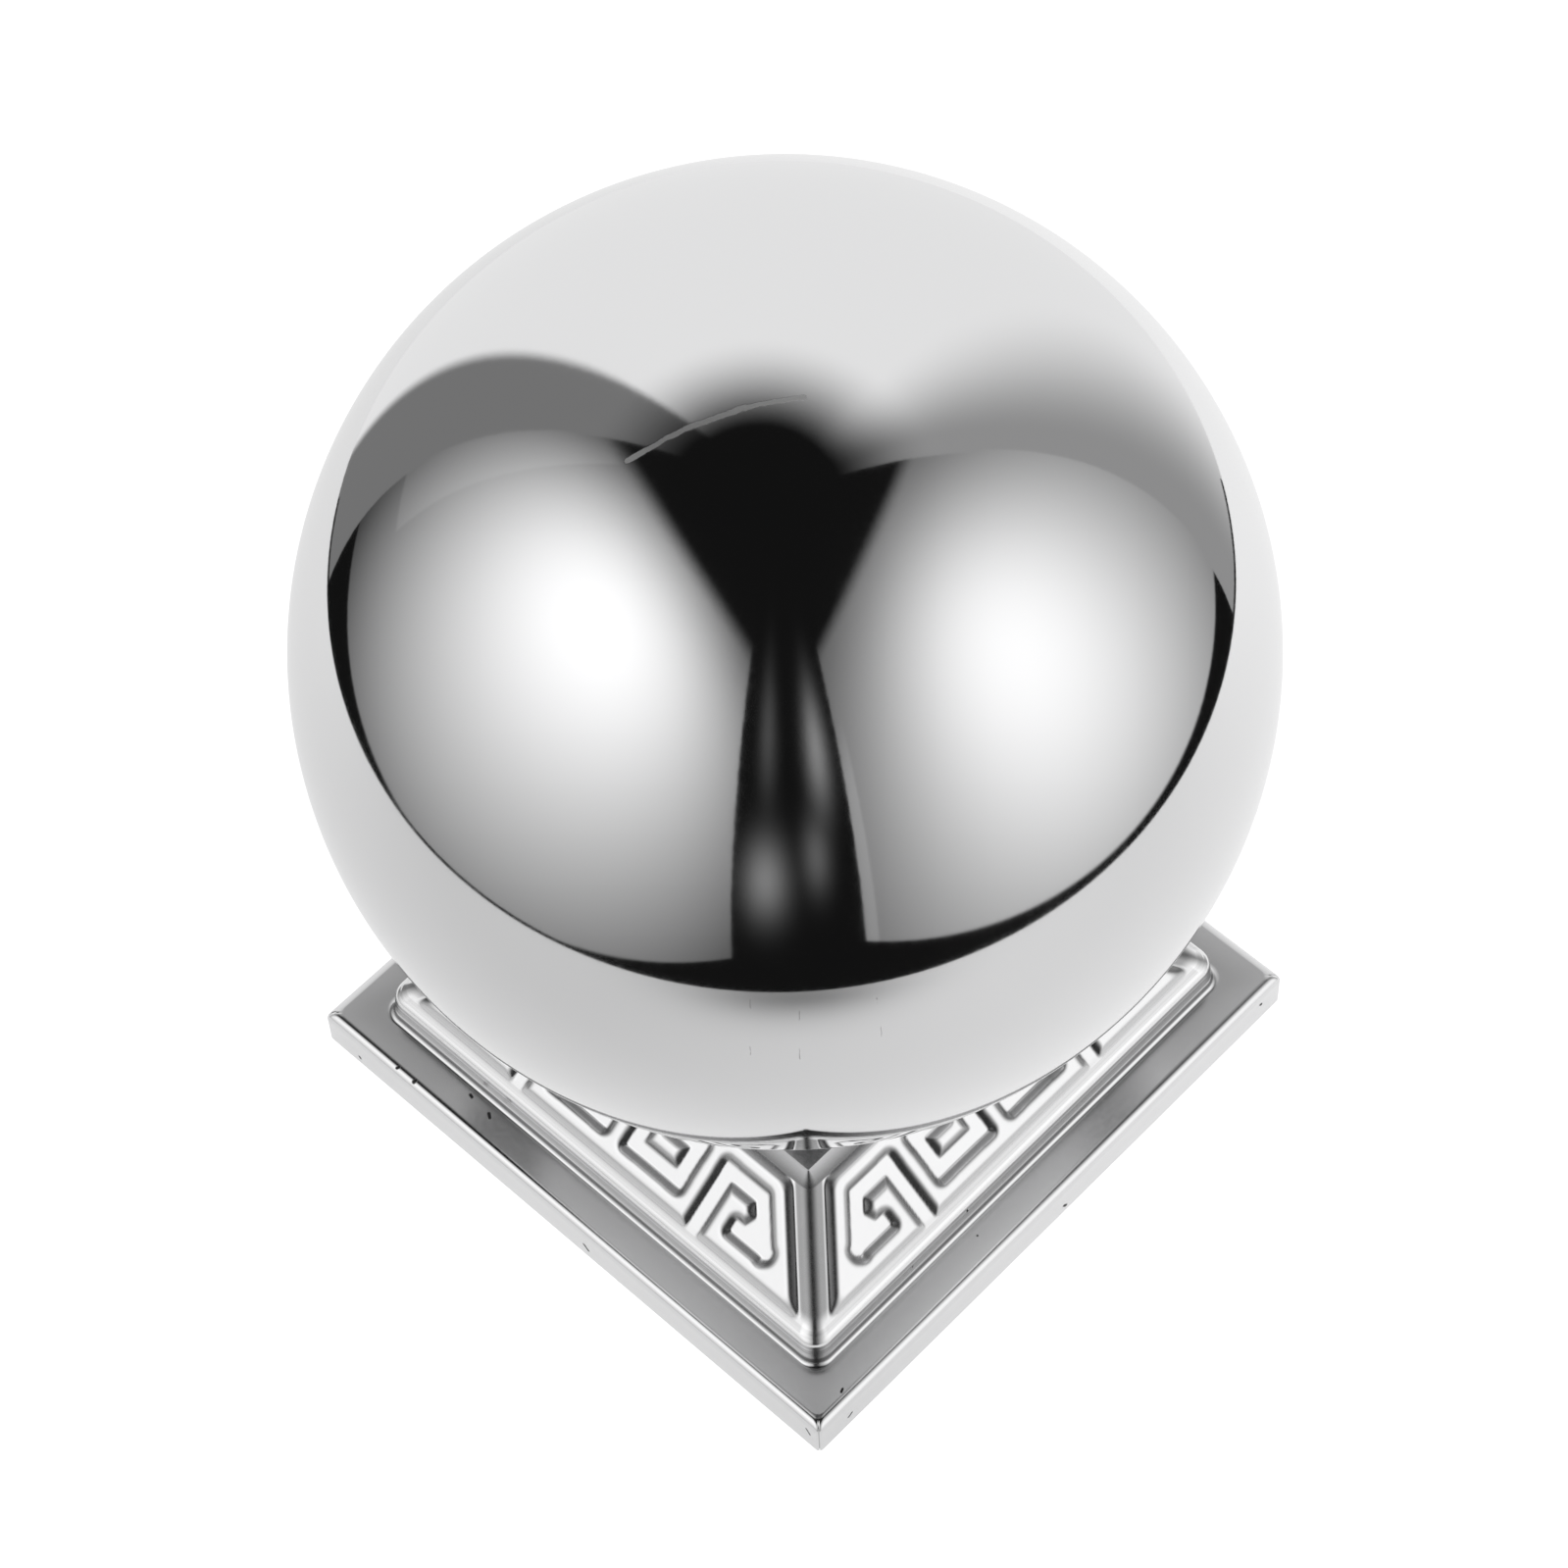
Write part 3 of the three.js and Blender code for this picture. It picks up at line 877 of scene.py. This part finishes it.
def outer_rings(cap, fret):
    """Loops of the cap's outside, from the skirts' lower edge to the ball's seat."""
    foot = HALF_SIDE - cap.ledge_width
    riser_top = foot - cap.riser_run
    top_height = cap.skirt_height + cap.riser_height
    plate = top_height + cap.slope_length * math.sin(cap.slope_angle)
    rings = skirt_rings(cap, foot)
    lean = MM * math.cos(cap.slope_angle), MM * math.sin(cap.slope_angle)
    riser = rounded(
        [(foot + MM, cap.skirt_height), (foot, cap.skirt_height), (riser_top, top_height),
         (riser_top - lean[0], top_height + lean[1])],
        [cap.foot_fillet, cap.riser_fillet], BEND_STEPS,
    )
    rings.extend(riser_rings(cap, foot, riser[1:-2]))
    low = riser[-2]
    bevel = (
        riser_top - cap.bevel_start * math.cos(cap.slope_angle),
        top_height + cap.bevel_start * math.sin(cap.slope_angle),
    )
    flat_half = bevel[0] - cap.bevel_run
    edge = rounded(
        [low, bevel, (flat_half, plate), (flat_half - MM, plate)],
        [cap.bevel_fillet, cap.bevel_fillet], EDGE_STEPS,
    )
    rings.extend(slope_rings(cap, fret, low, edge[1], cap.hip_corner, FINE_COLUMNS, FINE_ROWS))
    first_coarse = 1 + EDGE_STEPS + ARC_EXTRA
    for number, (half, height) in enumerate(edge[2:], 2):
        left = np.clip((half - flat_half) / cap.bevel_run, 0.0, 1.0)
        corner = cap.hip_corner * (0.15 + 0.85 * left)
        columns = FINE_COLUMNS if number < first_coarse else COARSE_COLUMNS
        # The bevel round the plate is dulled and darkened with painted shade.
        wear_and_shade = BEVEL_DULL_AND_SHADE * step_between(left, 0.0, 0.2)
        rings.append(square_ring(half, corner, height, columns, wear_and_shade=wear_and_shade))
    rings.extend(neck_rings(cap, plate))
    return rings, (0.0, 0.0, BALL_CENTRE - BALL_RADIUS - cap.seat_clearance)


def inset_corners(corners, distance):
    """The section's inner corner points moved in by the sheet's thickness."""
    inset = []
    for before, here, after in zip(corners, corners[1:], corners[2:]):
        into = []
        for start, end in ((before, here), (here, after)):
            run = np.array(end) - np.array(start)
            run = run / np.linalg.norm(run)
            into.append(np.array([-run[1], run[0]]))
        middle = into[0] + into[1]
        middle = middle / np.linalg.norm(middle)
        inset.append(np.array(here) + middle * distance / (middle @ into[1]))
    return inset


def inner_rings(cap, fret):
    """Loops of the cap's inside, from under the ball's seat to the skirts' lower edge."""
    foot = HALF_SIDE - cap.ledge_width
    riser_top = foot - cap.riser_run
    top_height = cap.skirt_height + cap.riser_height
    plate_half = riser_top - cap.slope_length * math.cos(cap.slope_angle)
    plate = top_height + cap.slope_length * math.sin(cap.slope_angle)
    section = [
        (HALF_SIDE, 0.0), (HALF_SIDE, cap.skirt_height), (foot, cap.skirt_height),
        (riser_top, top_height), (plate_half, plate), (0.0, plate),
    ]
    skirt, under_foot, under_top, under_plate = inset_corners(section, cap.sheet)
    inside = cap.neck_radius - cap.sheet
    under_seat = BALL_RADIUS + cap.seat_clearance + cap.sheet
    rings = bowl_rings(under_seat, inside, NECK_COLUMNS, SEAT_STEPS)[::-1]
    rings.append(round_ring(inside, under_plate[1], NECK_COLUMNS))
    hip = max(cap.hip_corner - cap.sheet, SHARPEST_CORNER)
    slopes = slope_rings(cap, fret, under_top, under_plate, hip, INNER_COLUMNS, INNER_ROWS)
    rings.extend(slopes[::-1])
    rings.append(square_ring(under_foot[0], cap.foot_corner - cap.sheet, under_foot[1], COARSE_COLUMNS))
    inner_corner = max(cap.skirt_corner - cap.sheet, SHARPEST_CORNER)
    rings.append(square_ring(skirt[0], inner_corner, skirt[1], COARSE_COLUMNS))
    rings.append(square_ring(skirt[0], inner_corner, 0.0, COARSE_COLUMNS))
    return rings, (0.0, 0.0, BALL_CENTRE - under_seat)


def shader_tools():
    """The two shared shader groups, built once."""
    names = ("polish_marks", "scratch")
    if all(name in bpy.data.node_groups for name in names):
        return tuple(bpy.data.node_groups[name] for name in names)
    return polish_group(), scratch_group()


def cap_material(settings):
    """Finish of the pressed sheet."""
    name = "pressed_steel"
    if name in bpy.data.materials:
        return bpy.data.materials[name]
    marks = [
        (Vector(place) * MM, Vector(run) * MM, width * MM) for place, run, width in CAP_MARKS
    ]
    return steel_material(
        name, settings.finish.cap_colour, settings.finish.cap_roughness,
        (1500.0, 1.0), (160.0, 14.0), marks, settings.finish.pit_colour, shader_tools(),
    )


class NEWELCAP_OT_pressed_cap(bpy.types.Operator):
    """Build the pressed cap with its fret, neck and hollow inside"""

    bl_idname = "newelcap.pressed_cap"
    bl_label = "Pressed Cap"

    def execute(self, context):
        settings = context.scene.newel_cap
        outside, seat = outer_rings(settings.cap, settings.fret)
        inside, under_seat = inner_rings(settings.cap, settings.fret)
        top_points, top_faces, top_finish = bridge(outside, None, seat)
        inner_points, inner_faces, inner_finish = bridge(inside, under_seat, None)
        shift = len(top_points)
        last = inside[-1]
        lip = shift + len(inner_points) - 1 - len(last.points)
        faces = top_faces + [tuple(shift + i for i in face) for face in inner_faces]
        for i in range(len(last.points)):
            j = (i + 1) % len(last.points)
            faces.append((lip + i, lip + j, j, i))
        points = np.concatenate([top_points, inner_points])
        finish = np.concatenate([top_finish, inner_finish])
        item = make_object("steel_cap", points, faces, cap_material(settings), finish)
        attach(item, "root")
        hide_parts("pressed_cap")
        return {"FINISHED"}


BALL_COLUMNS = 256
BALL_ROWS = 128


class NEWELCAP_OT_ball(bpy.types.Operator):
    """Build the polished ball"""

    bl_idname = "newelcap.ball"
    bl_label = "Polished Ball"

    def execute(self, context):
        settings = context.scene.newel_cap
        rings = []
        for row in range(1, BALL_ROWS):
            angle = row / BALL_ROWS * math.pi
            height = BALL_CENTRE - BALL_RADIUS * math.cos(angle)
            rings.append(round_ring(BALL_RADIUS * math.sin(angle), height, BALL_COLUMNS))
        low = (0.0, 0.0, BALL_CENTRE - BALL_RADIUS)
        high = (0.0, 0.0, BALL_CENTRE + BALL_RADIUS)
        points, faces, finish = bridge(rings, low, high)
        marks = []
        for start, end, width in BALL_SCRATCHES:
            marks.append((on_ball(*start), on_ball(*end) - on_ball(*start), width))
        material = steel_material(
            "polished_steel", settings.finish.ball_colour, settings.finish.ball_roughness,
            (1500.0, 0.6), (120.0, 2.5), marks, settings.finish.scratch_colour, shader_tools(),
        )
        item = make_object("polished_ball", points, faces, material, finish)
        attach(item, "root")
        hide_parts("ball")
        return {"FINISHED"}


# The least and the greatest share of its size that a weld bead has
BEAD_SIZES = {"Min": 0.9, "Max": 1.1}


def weld_tree(material):
    """Geometry Nodes: overlapping beads round a circle."""
    tree = bpy.data.node_groups.new("weld_beads", "GeometryNodeTree")
    tree.interface.new_socket(name="Geometry", in_out="INPUT", socket_type="NodeSocketGeometry")
    for label in ("Radius", "Height", "Bead Length", "Bead Width", "Bead Height"):
        tree.interface.new_socket(name=label, in_out="INPUT", socket_type="NodeSocketFloat")
    for label in ("Beads", "Seed"):
        tree.interface.new_socket(name=label, in_out="INPUT", socket_type="NodeSocketInt")
    tree.interface.new_socket(name="Geometry", in_out="OUTPUT", socket_type="NodeSocketGeometry")
    source = tree.nodes.new("NodeGroupInput")
    result = tree.nodes.new("NodeGroupOutput")
    out = source.outputs
    circle = add_node(tree, "GeometryNodeCurvePrimitiveCircle", {}, Radius=out["Radius"])
    spaced = add_node(
        tree, "GeometryNodeCurveToPoints", {"mode": "COUNT"},
        Curve=circle.outputs[0], Count=out["Beads"],
    )
    bead = add_node(tree, "GeometryNodeMeshUVSphere", {}, Segments=16, Rings=10, Radius=0.5)
    size = add_node(
        tree, "ShaderNodeCombineXYZ", {},
        _0=out["Bead Width"], _1=out["Bead Height"], _2=out["Bead Length"],
    )
    vary = add_node(tree, "FunctionNodeRandomValue", {"data_type": "FLOAT"})
    for socket in vary.inputs:
        if socket.name in BEAD_SIZES and socket.type == "VALUE":
            socket.default_value = BEAD_SIZES[socket.name]
        if socket.name == "Seed":
            tree.links.new(out["Seed"], socket)
    varied = vector_math(tree, "SCALE", size.outputs[0])
    number = next(output for output in vary.outputs if output.type == "VALUE" and output.enabled)
    set_inputs(tree, varied, {"Scale": number})
    placed = add_node(
        tree, "GeometryNodeInstanceOnPoints", {},
        Points=spaced.outputs["Points"], Rotation=spaced.outputs["Rotation"],
        Instance=bead.outputs["Mesh"], Scale=varied.outputs[0],
    )
    lift = add_node(tree, "ShaderNodeCombineXYZ", {}, _2=out["Height"])
    raised = add_node(
        tree, "GeometryNodeTransform", {}, Geometry=placed.outputs[0], Translation=lift.outputs[0],
    )
    real = add_node(tree, "GeometryNodeRealizeInstances", {}, _0=raised.outputs[0])
    shaded = add_node(tree, "GeometryNodeSetShadeSmooth", {}, _0=real.outputs[0])
    coated = add_node(
        tree, "GeometryNodeSetMaterial", {}, Geometry=shaded.outputs[0], Material=material,
    )
    set_inputs(tree, result, {"_0": coated.outputs[0]})
    return tree


class NEWELCAP_OT_weld(bpy.types.Operator):
    """Lay the ring of weld beads between the neck and the ball"""

    bl_idname = "newelcap.weld"
    bl_label = "Weld Beads"

    def execute(self, context):
        settings = context.scene.newel_cap
        weld, cap = settings.weld, settings.cap
        material = cap_material(settings)
        tree = weld_tree(material)
        carrier = bpy.data.objects.new("weld_carrier", bpy.data.meshes.new("weld_carrier"))
        context.scene.collection.objects.link(carrier)
        modifier = carrier.modifiers.new("weld_beads", "NODES")
        modifier.node_group = tree
        seat = math.sqrt((BALL_RADIUS + cap.seat_clearance) ** 2 - cap.neck_radius ** 2)
        values = {
            "Radius": cap.neck_radius + 0.05 * MM,
            "Height": BALL_CENTRE - seat,
            "Bead Length": weld.bead_length,
            "Bead Width": weld.bead_width,
            "Bead Height": weld.bead_height,
            "Beads": weld.beads,
            "Seed": weld.seed,
        }
        for socket in tree.interface.items_tree:
            if socket.in_out == "INPUT" and socket.name in values:
                modifier[socket.identifier] = values[socket.name]
        context.view_layer.update()
        evaluated = carrier.evaluated_get(context.evaluated_depsgraph_get())
        mesh = bpy.data.meshes.new_from_object(evaluated)
        mesh.name = "weld_beads"
        bpy.data.objects.remove(carrier)
        item = bpy.data.objects.new("weld_beads", mesh)
        context.scene.collection.objects.link(item)
        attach(item, "root")
        return {"FINISHED"}


# Studio

def softbox_group():
    """A flat light panel seen from the part, as its brightness over directions."""
    group, source, result = new_group(
        "softbox", ("Direction", "Facing", "Across"),
        {
            "Left": -1.0, "Right": 1.0, "Bottom": -0.5, "Top": 2.5, "Top Fade": 0.5,
            "Spot Across": 0.0, "Spot Up": 0.6, "Spot Width": 1.0, "Spot Height": 1.0,
            "Spot": 1.5, "Field": 0.0,
        },
        ("Brightness",),
    )
    out = source.outputs
    ahead = dot(group, out["Direction"], out["Facing"])
    safe = calculate(group, "MAXIMUM", ahead, LEAST_AHEAD)
    across = calculate(group, "DIVIDE", dot(group, out["Direction"], out["Across"]), safe)
    height = add_node(group, "ShaderNodeSeparateXYZ", {}, _0=out["Direction"]).outputs[2]
    up = calculate(group, "DIVIDE", height, safe)
    mask = ramp(group, ahead, 0.0, 0.05)
    for inside, fade in (
        (calculate(group, "SUBTRACT", across, out["Left"]), PANEL_EDGE),
        (calculate(group, "SUBTRACT", out["Right"], across), PANEL_EDGE),
        (calculate(group, "SUBTRACT", up, out["Bottom"]), PANEL_EDGE),
        (calculate(group, "SUBTRACT", out["Top"], up), out["Top Fade"]),
    ):
        share = calculate(group, "DIVIDE", inside, fade)
        mask = calculate(group, "MULTIPLY", mask, ramp(group, share, 0.0, 1.0))
    spread = 1.0
    for place, middle, size in (
        (across, out["Spot Across"], out["Spot Width"]),
        (up, out["Spot Up"], out["Spot Height"]),
    ):
        offset = calculate(group, "DIVIDE", calculate(group, "SUBTRACT", place, middle), size)
        spread = calculate(group, "MULTIPLY_ADD", offset, offset, spread)
    fall = calculate(group, "POWER", spread, SPOT_POWER)
    glow = calculate(group, "MULTIPLY_ADD", fall, out["Spot"], out["Field"])
    glow = calculate(group, "MAXIMUM", glow, 0.0)
    set_inputs(group, result, {"Brightness": calculate(group, "MULTIPLY", mask, glow)})
    return group


# How soft a panel's edges are, how its hot spot falls off, and how nearly square to a panel's
# facing a direction may be before the tangents below stop growing
PANEL_EDGE = 0.025
SPOT_POWER = -1.6
LEAST_AHEAD = 0.001

# The two light panels and a brighter strip in each: bearing from the camera in degrees, then
# edges and hot spot as tangents of the angles across and up from that bearing
LEFT_PANEL, RIGHT_PANEL = -66.0, 68.0
PANELS = (
    (LEFT_PANEL, {
        "Left": -1.66, "Right": 1.33, "Bottom": -0.52, "Top": 2.72, "Top Fade": 0.6,
        "Spot Up": 0.92, "Spot Width": 1.42, "Spot Height": 1.42, "Spot": 1.72, "Field": -0.2,
    }),
    (RIGHT_PANEL, {
        "Left": -1.48, "Right": 1.02, "Bottom": -0.46, "Top": 2.75, "Top Fade": 0.5,
        "Spot Across": -0.05, "Spot Up": 0.52, "Spot Width": 0.99, "Spot Height": 1.3,
        "Spot": 1.36, "Field": 0.06,
    }),
    (LEFT_PANEL, {
        "Left": -1.66, "Right": -1.15, "Bottom": -0.05, "Top": 2.4, "Top Fade": 0.4,
        "Spot": 0.0, "Field": 0.06,
    }),
    (RIGHT_PANEL, {
        "Left": -1.48, "Right": -1.33, "Bottom": -0.46, "Top": 1.5, "Top Fade": 0.8,
        "Spot": 0.0, "Field": 0.1,
    }),
)

# The backdrop behind the part, with bearings from the camera and heights in degrees
BACKDROP_LIGHT = 1.07
BACKDROP_TOP = (49.0, 74.0)
BACKDROP_LEFT = {"start": 124.0, "from": 139.5, "to": 142.5, "dim": 0.22}
BACKDROP_RIGHT = {"start": 112.0, "from": 118.0, "to": 146.0, "dim": 0.35}

# Soft lights in the dark gap between the panels: bearing, height, their sizes and brightness
GAP_LIGHTS = (
    (-6.5, 4.0, 4.0, 9.0, 0.27),
    (-6.0, 38.0, 2.2, 13.0, 0.08),
    (6.5, 34.0, 2.6, 12.0, 0.3),
    (4.0, 9.0, 2.6, 8.0, 0.13),
)
CEILING_LIGHT = 0.008
BACKDROP_TILT = 4.5


def soft_spot(tree, bearing, height, values):
    """A soft spot of light over bearing and height in radians, from its values in degrees."""
    middle, level, width, depth, strength = values
    offsets = []
    for place, centre, size in ((bearing, middle, width), (height, level, depth)):
        offset = calculate(tree, "SUBTRACT", place, math.radians(centre))
        offsets.append(calculate(tree, "DIVIDE", offset, math.radians(size)))
    return calculate(tree, "MULTIPLY", soft_fall(tree, offsets), strength)


def backdrop_side(tree, bearing, values):
    """One side of the backdrop: dim beside the panel, then bright."""
    start, low, high = (math.radians(values[key]) for key in ("start", "from", "to"))
    bright = ramp(tree, bearing, low, high, values["dim"], 1.0)
    return calculate(tree, "MULTIPLY", bright, calculate(tree, "GREATER_THAN", bearing, start))


def studio_world(studio):
    """Soft studio light: two light panels, a pale backdrop and a dark ceiling and front."""
    world = bpy.data.worlds.new("studio")
    bpy.context.scene.world = world
    world.use_nodes = True
    tree = world.node_tree
    tree.nodes.clear()
    direction = add_node(tree, "ShaderNodeTexCoord").outputs["Generated"]
    level = add_node(tree, "ShaderNodeSeparateXYZ", {}, _0=direction).outputs[2]
    height = calculate(tree, "ARCSINE", level)
    right = heading_vector(studio.heading + math.pi / 2)
    front = heading_vector(studio.heading)
    bearing = calculate(tree, "ARCTAN2", dot(tree, direction, right), dot(tree, direction, front))
    panel = softbox_group()
    light = CEILING_LIGHT
    for panel_bearing, values in PANELS:
        facing = studio.heading + math.radians(panel_bearing)
        node = add_group(
            tree, panel, Direction=direction,
            Facing=heading_vector(facing), Across=heading_vector(facing + math.pi / 2), **values,
        )
        light = calculate(tree, "ADD", light, node.outputs[0])
    mirrored = calculate(tree, "MULTIPLY", bearing, -1.0)
    backdrop = calculate(
        tree, "ADD", backdrop_side(tree, mirrored, BACKDROP_LEFT),
        backdrop_side(tree, bearing, BACKDROP_RIGHT),
    )
    low, high = (math.radians(angle) for angle in BACKDROP_TOP)
    sideways = calculate(tree, "SINE", bearing)
    tilted = calculate(tree, "MULTIPLY_ADD", sideways, math.radians(-BACKDROP_TILT), height)
    backdrop = calculate(tree, "MULTIPLY", backdrop, ramp(tree, tilted, low, high, BACKDROP_LIGHT, 0.0))
    light = calculate(tree, "MAXIMUM", light, backdrop)
    for values in GAP_LIGHTS:
        light = calculate(tree, "ADD", light, soft_spot(tree, bearing, height, values))
    seen = add_node(tree, "ShaderNodeLightPath").outputs["Is Camera Ray"]
    shown = add_node(tree, "ShaderNodeMix", {"data_type": "FLOAT"}, _0=seen, _2=light, _3=1.0)
    glow = add_node(tree, "ShaderNodeBackground", {}, Strength=shown.outputs[0])
    output = tree.nodes.new("ShaderNodeOutputWorld")
    tree.links.new(glow.outputs[0], output.inputs["Surface"])
    return world


# How the table top's own light runs: its middle level, its rise to the right and to the
# back, a painted pool of light round the part and a painted shadow at the front edge
TABLE_LIGHT = {"level": 0.56, "right": 0.06, "back": 0.09, "patch": 0.16, "painted_shadow": -0.45}
RISE_REACH = 100 * MM
PATCH_SIZE = (75 * MM, 75 * MM)
PAINTED_SHADOW_PLACE = 215 * MM
PAINTED_SHADOW_SIZE = (75 * MM, 42 * MM)


def floor_material(studio):
    """Pale matt floor that stays white round the part, and glows with painted light and a painted shadow
    where the steel reflects it.
    """
    white = (1.0, 1.0, 1.0, 1.0)
    material, tree, shader = new_material(
        "pale_floor", Base_Color=(*studio.floor_colour, 1.0), Roughness=0.9, Emission_Color=white,
    )
    place = add_node(tree, "ShaderNodeTexCoord").outputs["Object"]
    across = dot(tree, place, heading_vector(studio.heading + math.pi / 2))
    near = dot(tree, place, heading_vector(studio.heading))
    light = TABLE_LIGHT["level"]
    for along, rise in ((across, TABLE_LIGHT["right"]), (near, -TABLE_LIGHT["back"])):
        light = calculate(tree, "ADD", light, ramp(tree, along, -RISE_REACH, RISE_REACH, -rise, rise))
    # A painted pool of light round the part and a painted shadow at the front, seen in the steel.
    for centre, (width, depth), strength in (
        (0.0, PATCH_SIZE, TABLE_LIGHT["patch"]),
        (PAINTED_SHADOW_PLACE, PAINTED_SHADOW_SIZE, TABLE_LIGHT["painted_shadow"]),
    ):
        beside = calculate(tree, "DIVIDE", across, width)
        before = calculate(tree, "DIVIDE", calculate(tree, "SUBTRACT", near, centre), depth)
        light = calculate(tree, "MULTIPLY_ADD", soft_fall(tree, (beside, before)), strength, light)
    light = calculate(tree, "MAXIMUM", light, 0.0)
    seen = add_node(tree, "ShaderNodeLightPath").outputs["Is Camera Ray"]
    glow = add_node(tree, "ShaderNodeMix", {"data_type": "FLOAT"}, _0=seen, _2=light, _3=1.0)
    set_inputs(tree, shader, {"Emission Strength": glow.outputs[0]})
    return material


# The dark arc of the table's edge: its ends as bearings from the camera in degrees, and its steps
RIM_ENDS = (-128.0, 124.0)
RIM_STEPS = 96


def table_rim(studio):
    """A narrow dark arc round the front of the table top, seen only in the steel."""
    material = new_material(
        "table_edge", Base_Color=(0.01, 0.01, 0.01, 1.0), Roughness=0.8, Specular_IOR_Level=0.0,
    )[0]
    start, end = (studio.heading + math.radians(angle) for angle in RIM_ENDS)
    inner, outer = studio.table_radius, studio.table_radius + studio.rim_width
    points, faces = [], []
    for step in range(RIM_STEPS + 1):
        facing = heading_vector(start + (end - start) * step / RIM_STEPS)
        points.extend([tuple(facing * inner), tuple(facing * outer)])
        if step < RIM_STEPS:
            base = 2 * step
            faces.append((base, base + 1, base + 3, base + 2))
    rim = make_object("table_edge", np.array(points), faces, material)
    rim.visible_camera = False
    return rim


def camera_matrix(studio):
    """Place of the camera from its bearing, elevation, roll, distance and slides."""
    roll = studio.roll
    back = heading_vector(studio.heading, studio.elevation)
    right = Vector((math.cos(studio.heading), math.sin(studio.heading), 0.0))
    up = back.cross(right)
    rolled_right = right * math.cos(roll) + up * math.sin(roll)
    rolled_up = up * math.cos(roll) - right * math.sin(roll)
    place = back * studio.distance + rolled_right * studio.slide_right + rolled_up * studio.slide_up
    matrix = Matrix((rolled_right, rolled_up, back)).transposed().to_4x4()
    matrix.translation = place
    return matrix


class NEWELCAP_OT_studio(bpy.types.Operator):
    """Set up the floor, the table top, the studio light and the camera"""

    bl_idname = "newelcap.studio"
    bl_label = "Studio"

    def execute(self, context):
        studio = context.scene.newel_cap.studio
        studio_world(studio)
        material = floor_material(studio)
        table = round_ring(studio.table_radius, 0.0, 128)
        points, faces, finish = bridge([table], None, (0.0, 0.0, 0.0))
        table_top = make_object("table_top", points, faces, material)
        half = studio.floor_size / 2
        under = -0.05 * MM
        corners = np.array([
            (-half, -half, under), (half, -half, under), (half, half, under), (-half, half, under),
        ])
        floor = make_object("floor", corners, [(0, 1, 2, 3)], material)
        floor.visible_glossy = False
        table_rim(studio)
        camera = bpy.data.objects.new("camera", bpy.data.cameras.new("camera"))
        context.scene.collection.objects.link(camera)
        camera.data.lens = studio.lens
        camera.data.sensor_width = 36.0
        camera.data.clip_start = 0.01
        camera.data.clip_end = 20.0
        camera.matrix_world = camera_matrix(studio)
        context.scene.camera = camera
        context.scene.view_settings.view_transform = "Standard"
        return {"FINISHED"}


class NEWELCAP_PT_sidebar(bpy.types.Panel):
    """Lists the newel cap's pieces, sizes and colours"""

    bl_idname = "NEWELCAP_PT_sidebar"
    bl_label = "Newel Cap"
    bl_space_type = "VIEW_3D"
    bl_region_type = "UI"
    bl_category = "Newel Cap"

    def draw(self, context):
        for operator in OPERATORS:
            self.layout.operator(operator.bl_idname)
        settings = context.scene.newel_cap
        for title in ("cap", "fret", "weld", "finish", "studio"):
            box = self.layout.box()
            box.label(text=title.capitalize())
            group = getattr(settings, title)
            for name in type(group).__annotations__:
                box.prop(group, name)


OPERATORS = (
    NEWELCAP_OT_pressed_cap,
    NEWELCAP_OT_ball,
    NEWELCAP_OT_weld,
    NEWELCAP_OT_studio,
)
CLASSES = (
    CapSizes, FretSizes, WeldSizes, SteelFinish, StudioSizes, NewelCapSettings,
    *OPERATORS, NEWELCAP_PT_sidebar,
)


def register():
    """Register the classes and put their settings on the scene."""
    for item in CLASSES:
        bpy.utils.register_class(item)
    bpy.types.Scene.newel_cap = PointerProperty(type=NewelCapSettings)


def unregister():
    """Take the settings and the classes away again."""
    del bpy.types.Scene.newel_cap
    for item in reversed(CLASSES):
        bpy.utils.unregister_class(item)


def main():
    """Build every piece."""
    register()
    bpy.ops.newelcap.studio()
    bpy.ops.newelcap.pressed_cap()
    bpy.ops.newelcap.ball()
    bpy.ops.newelcap.weld()


if __name__ == "__main__":
    main()
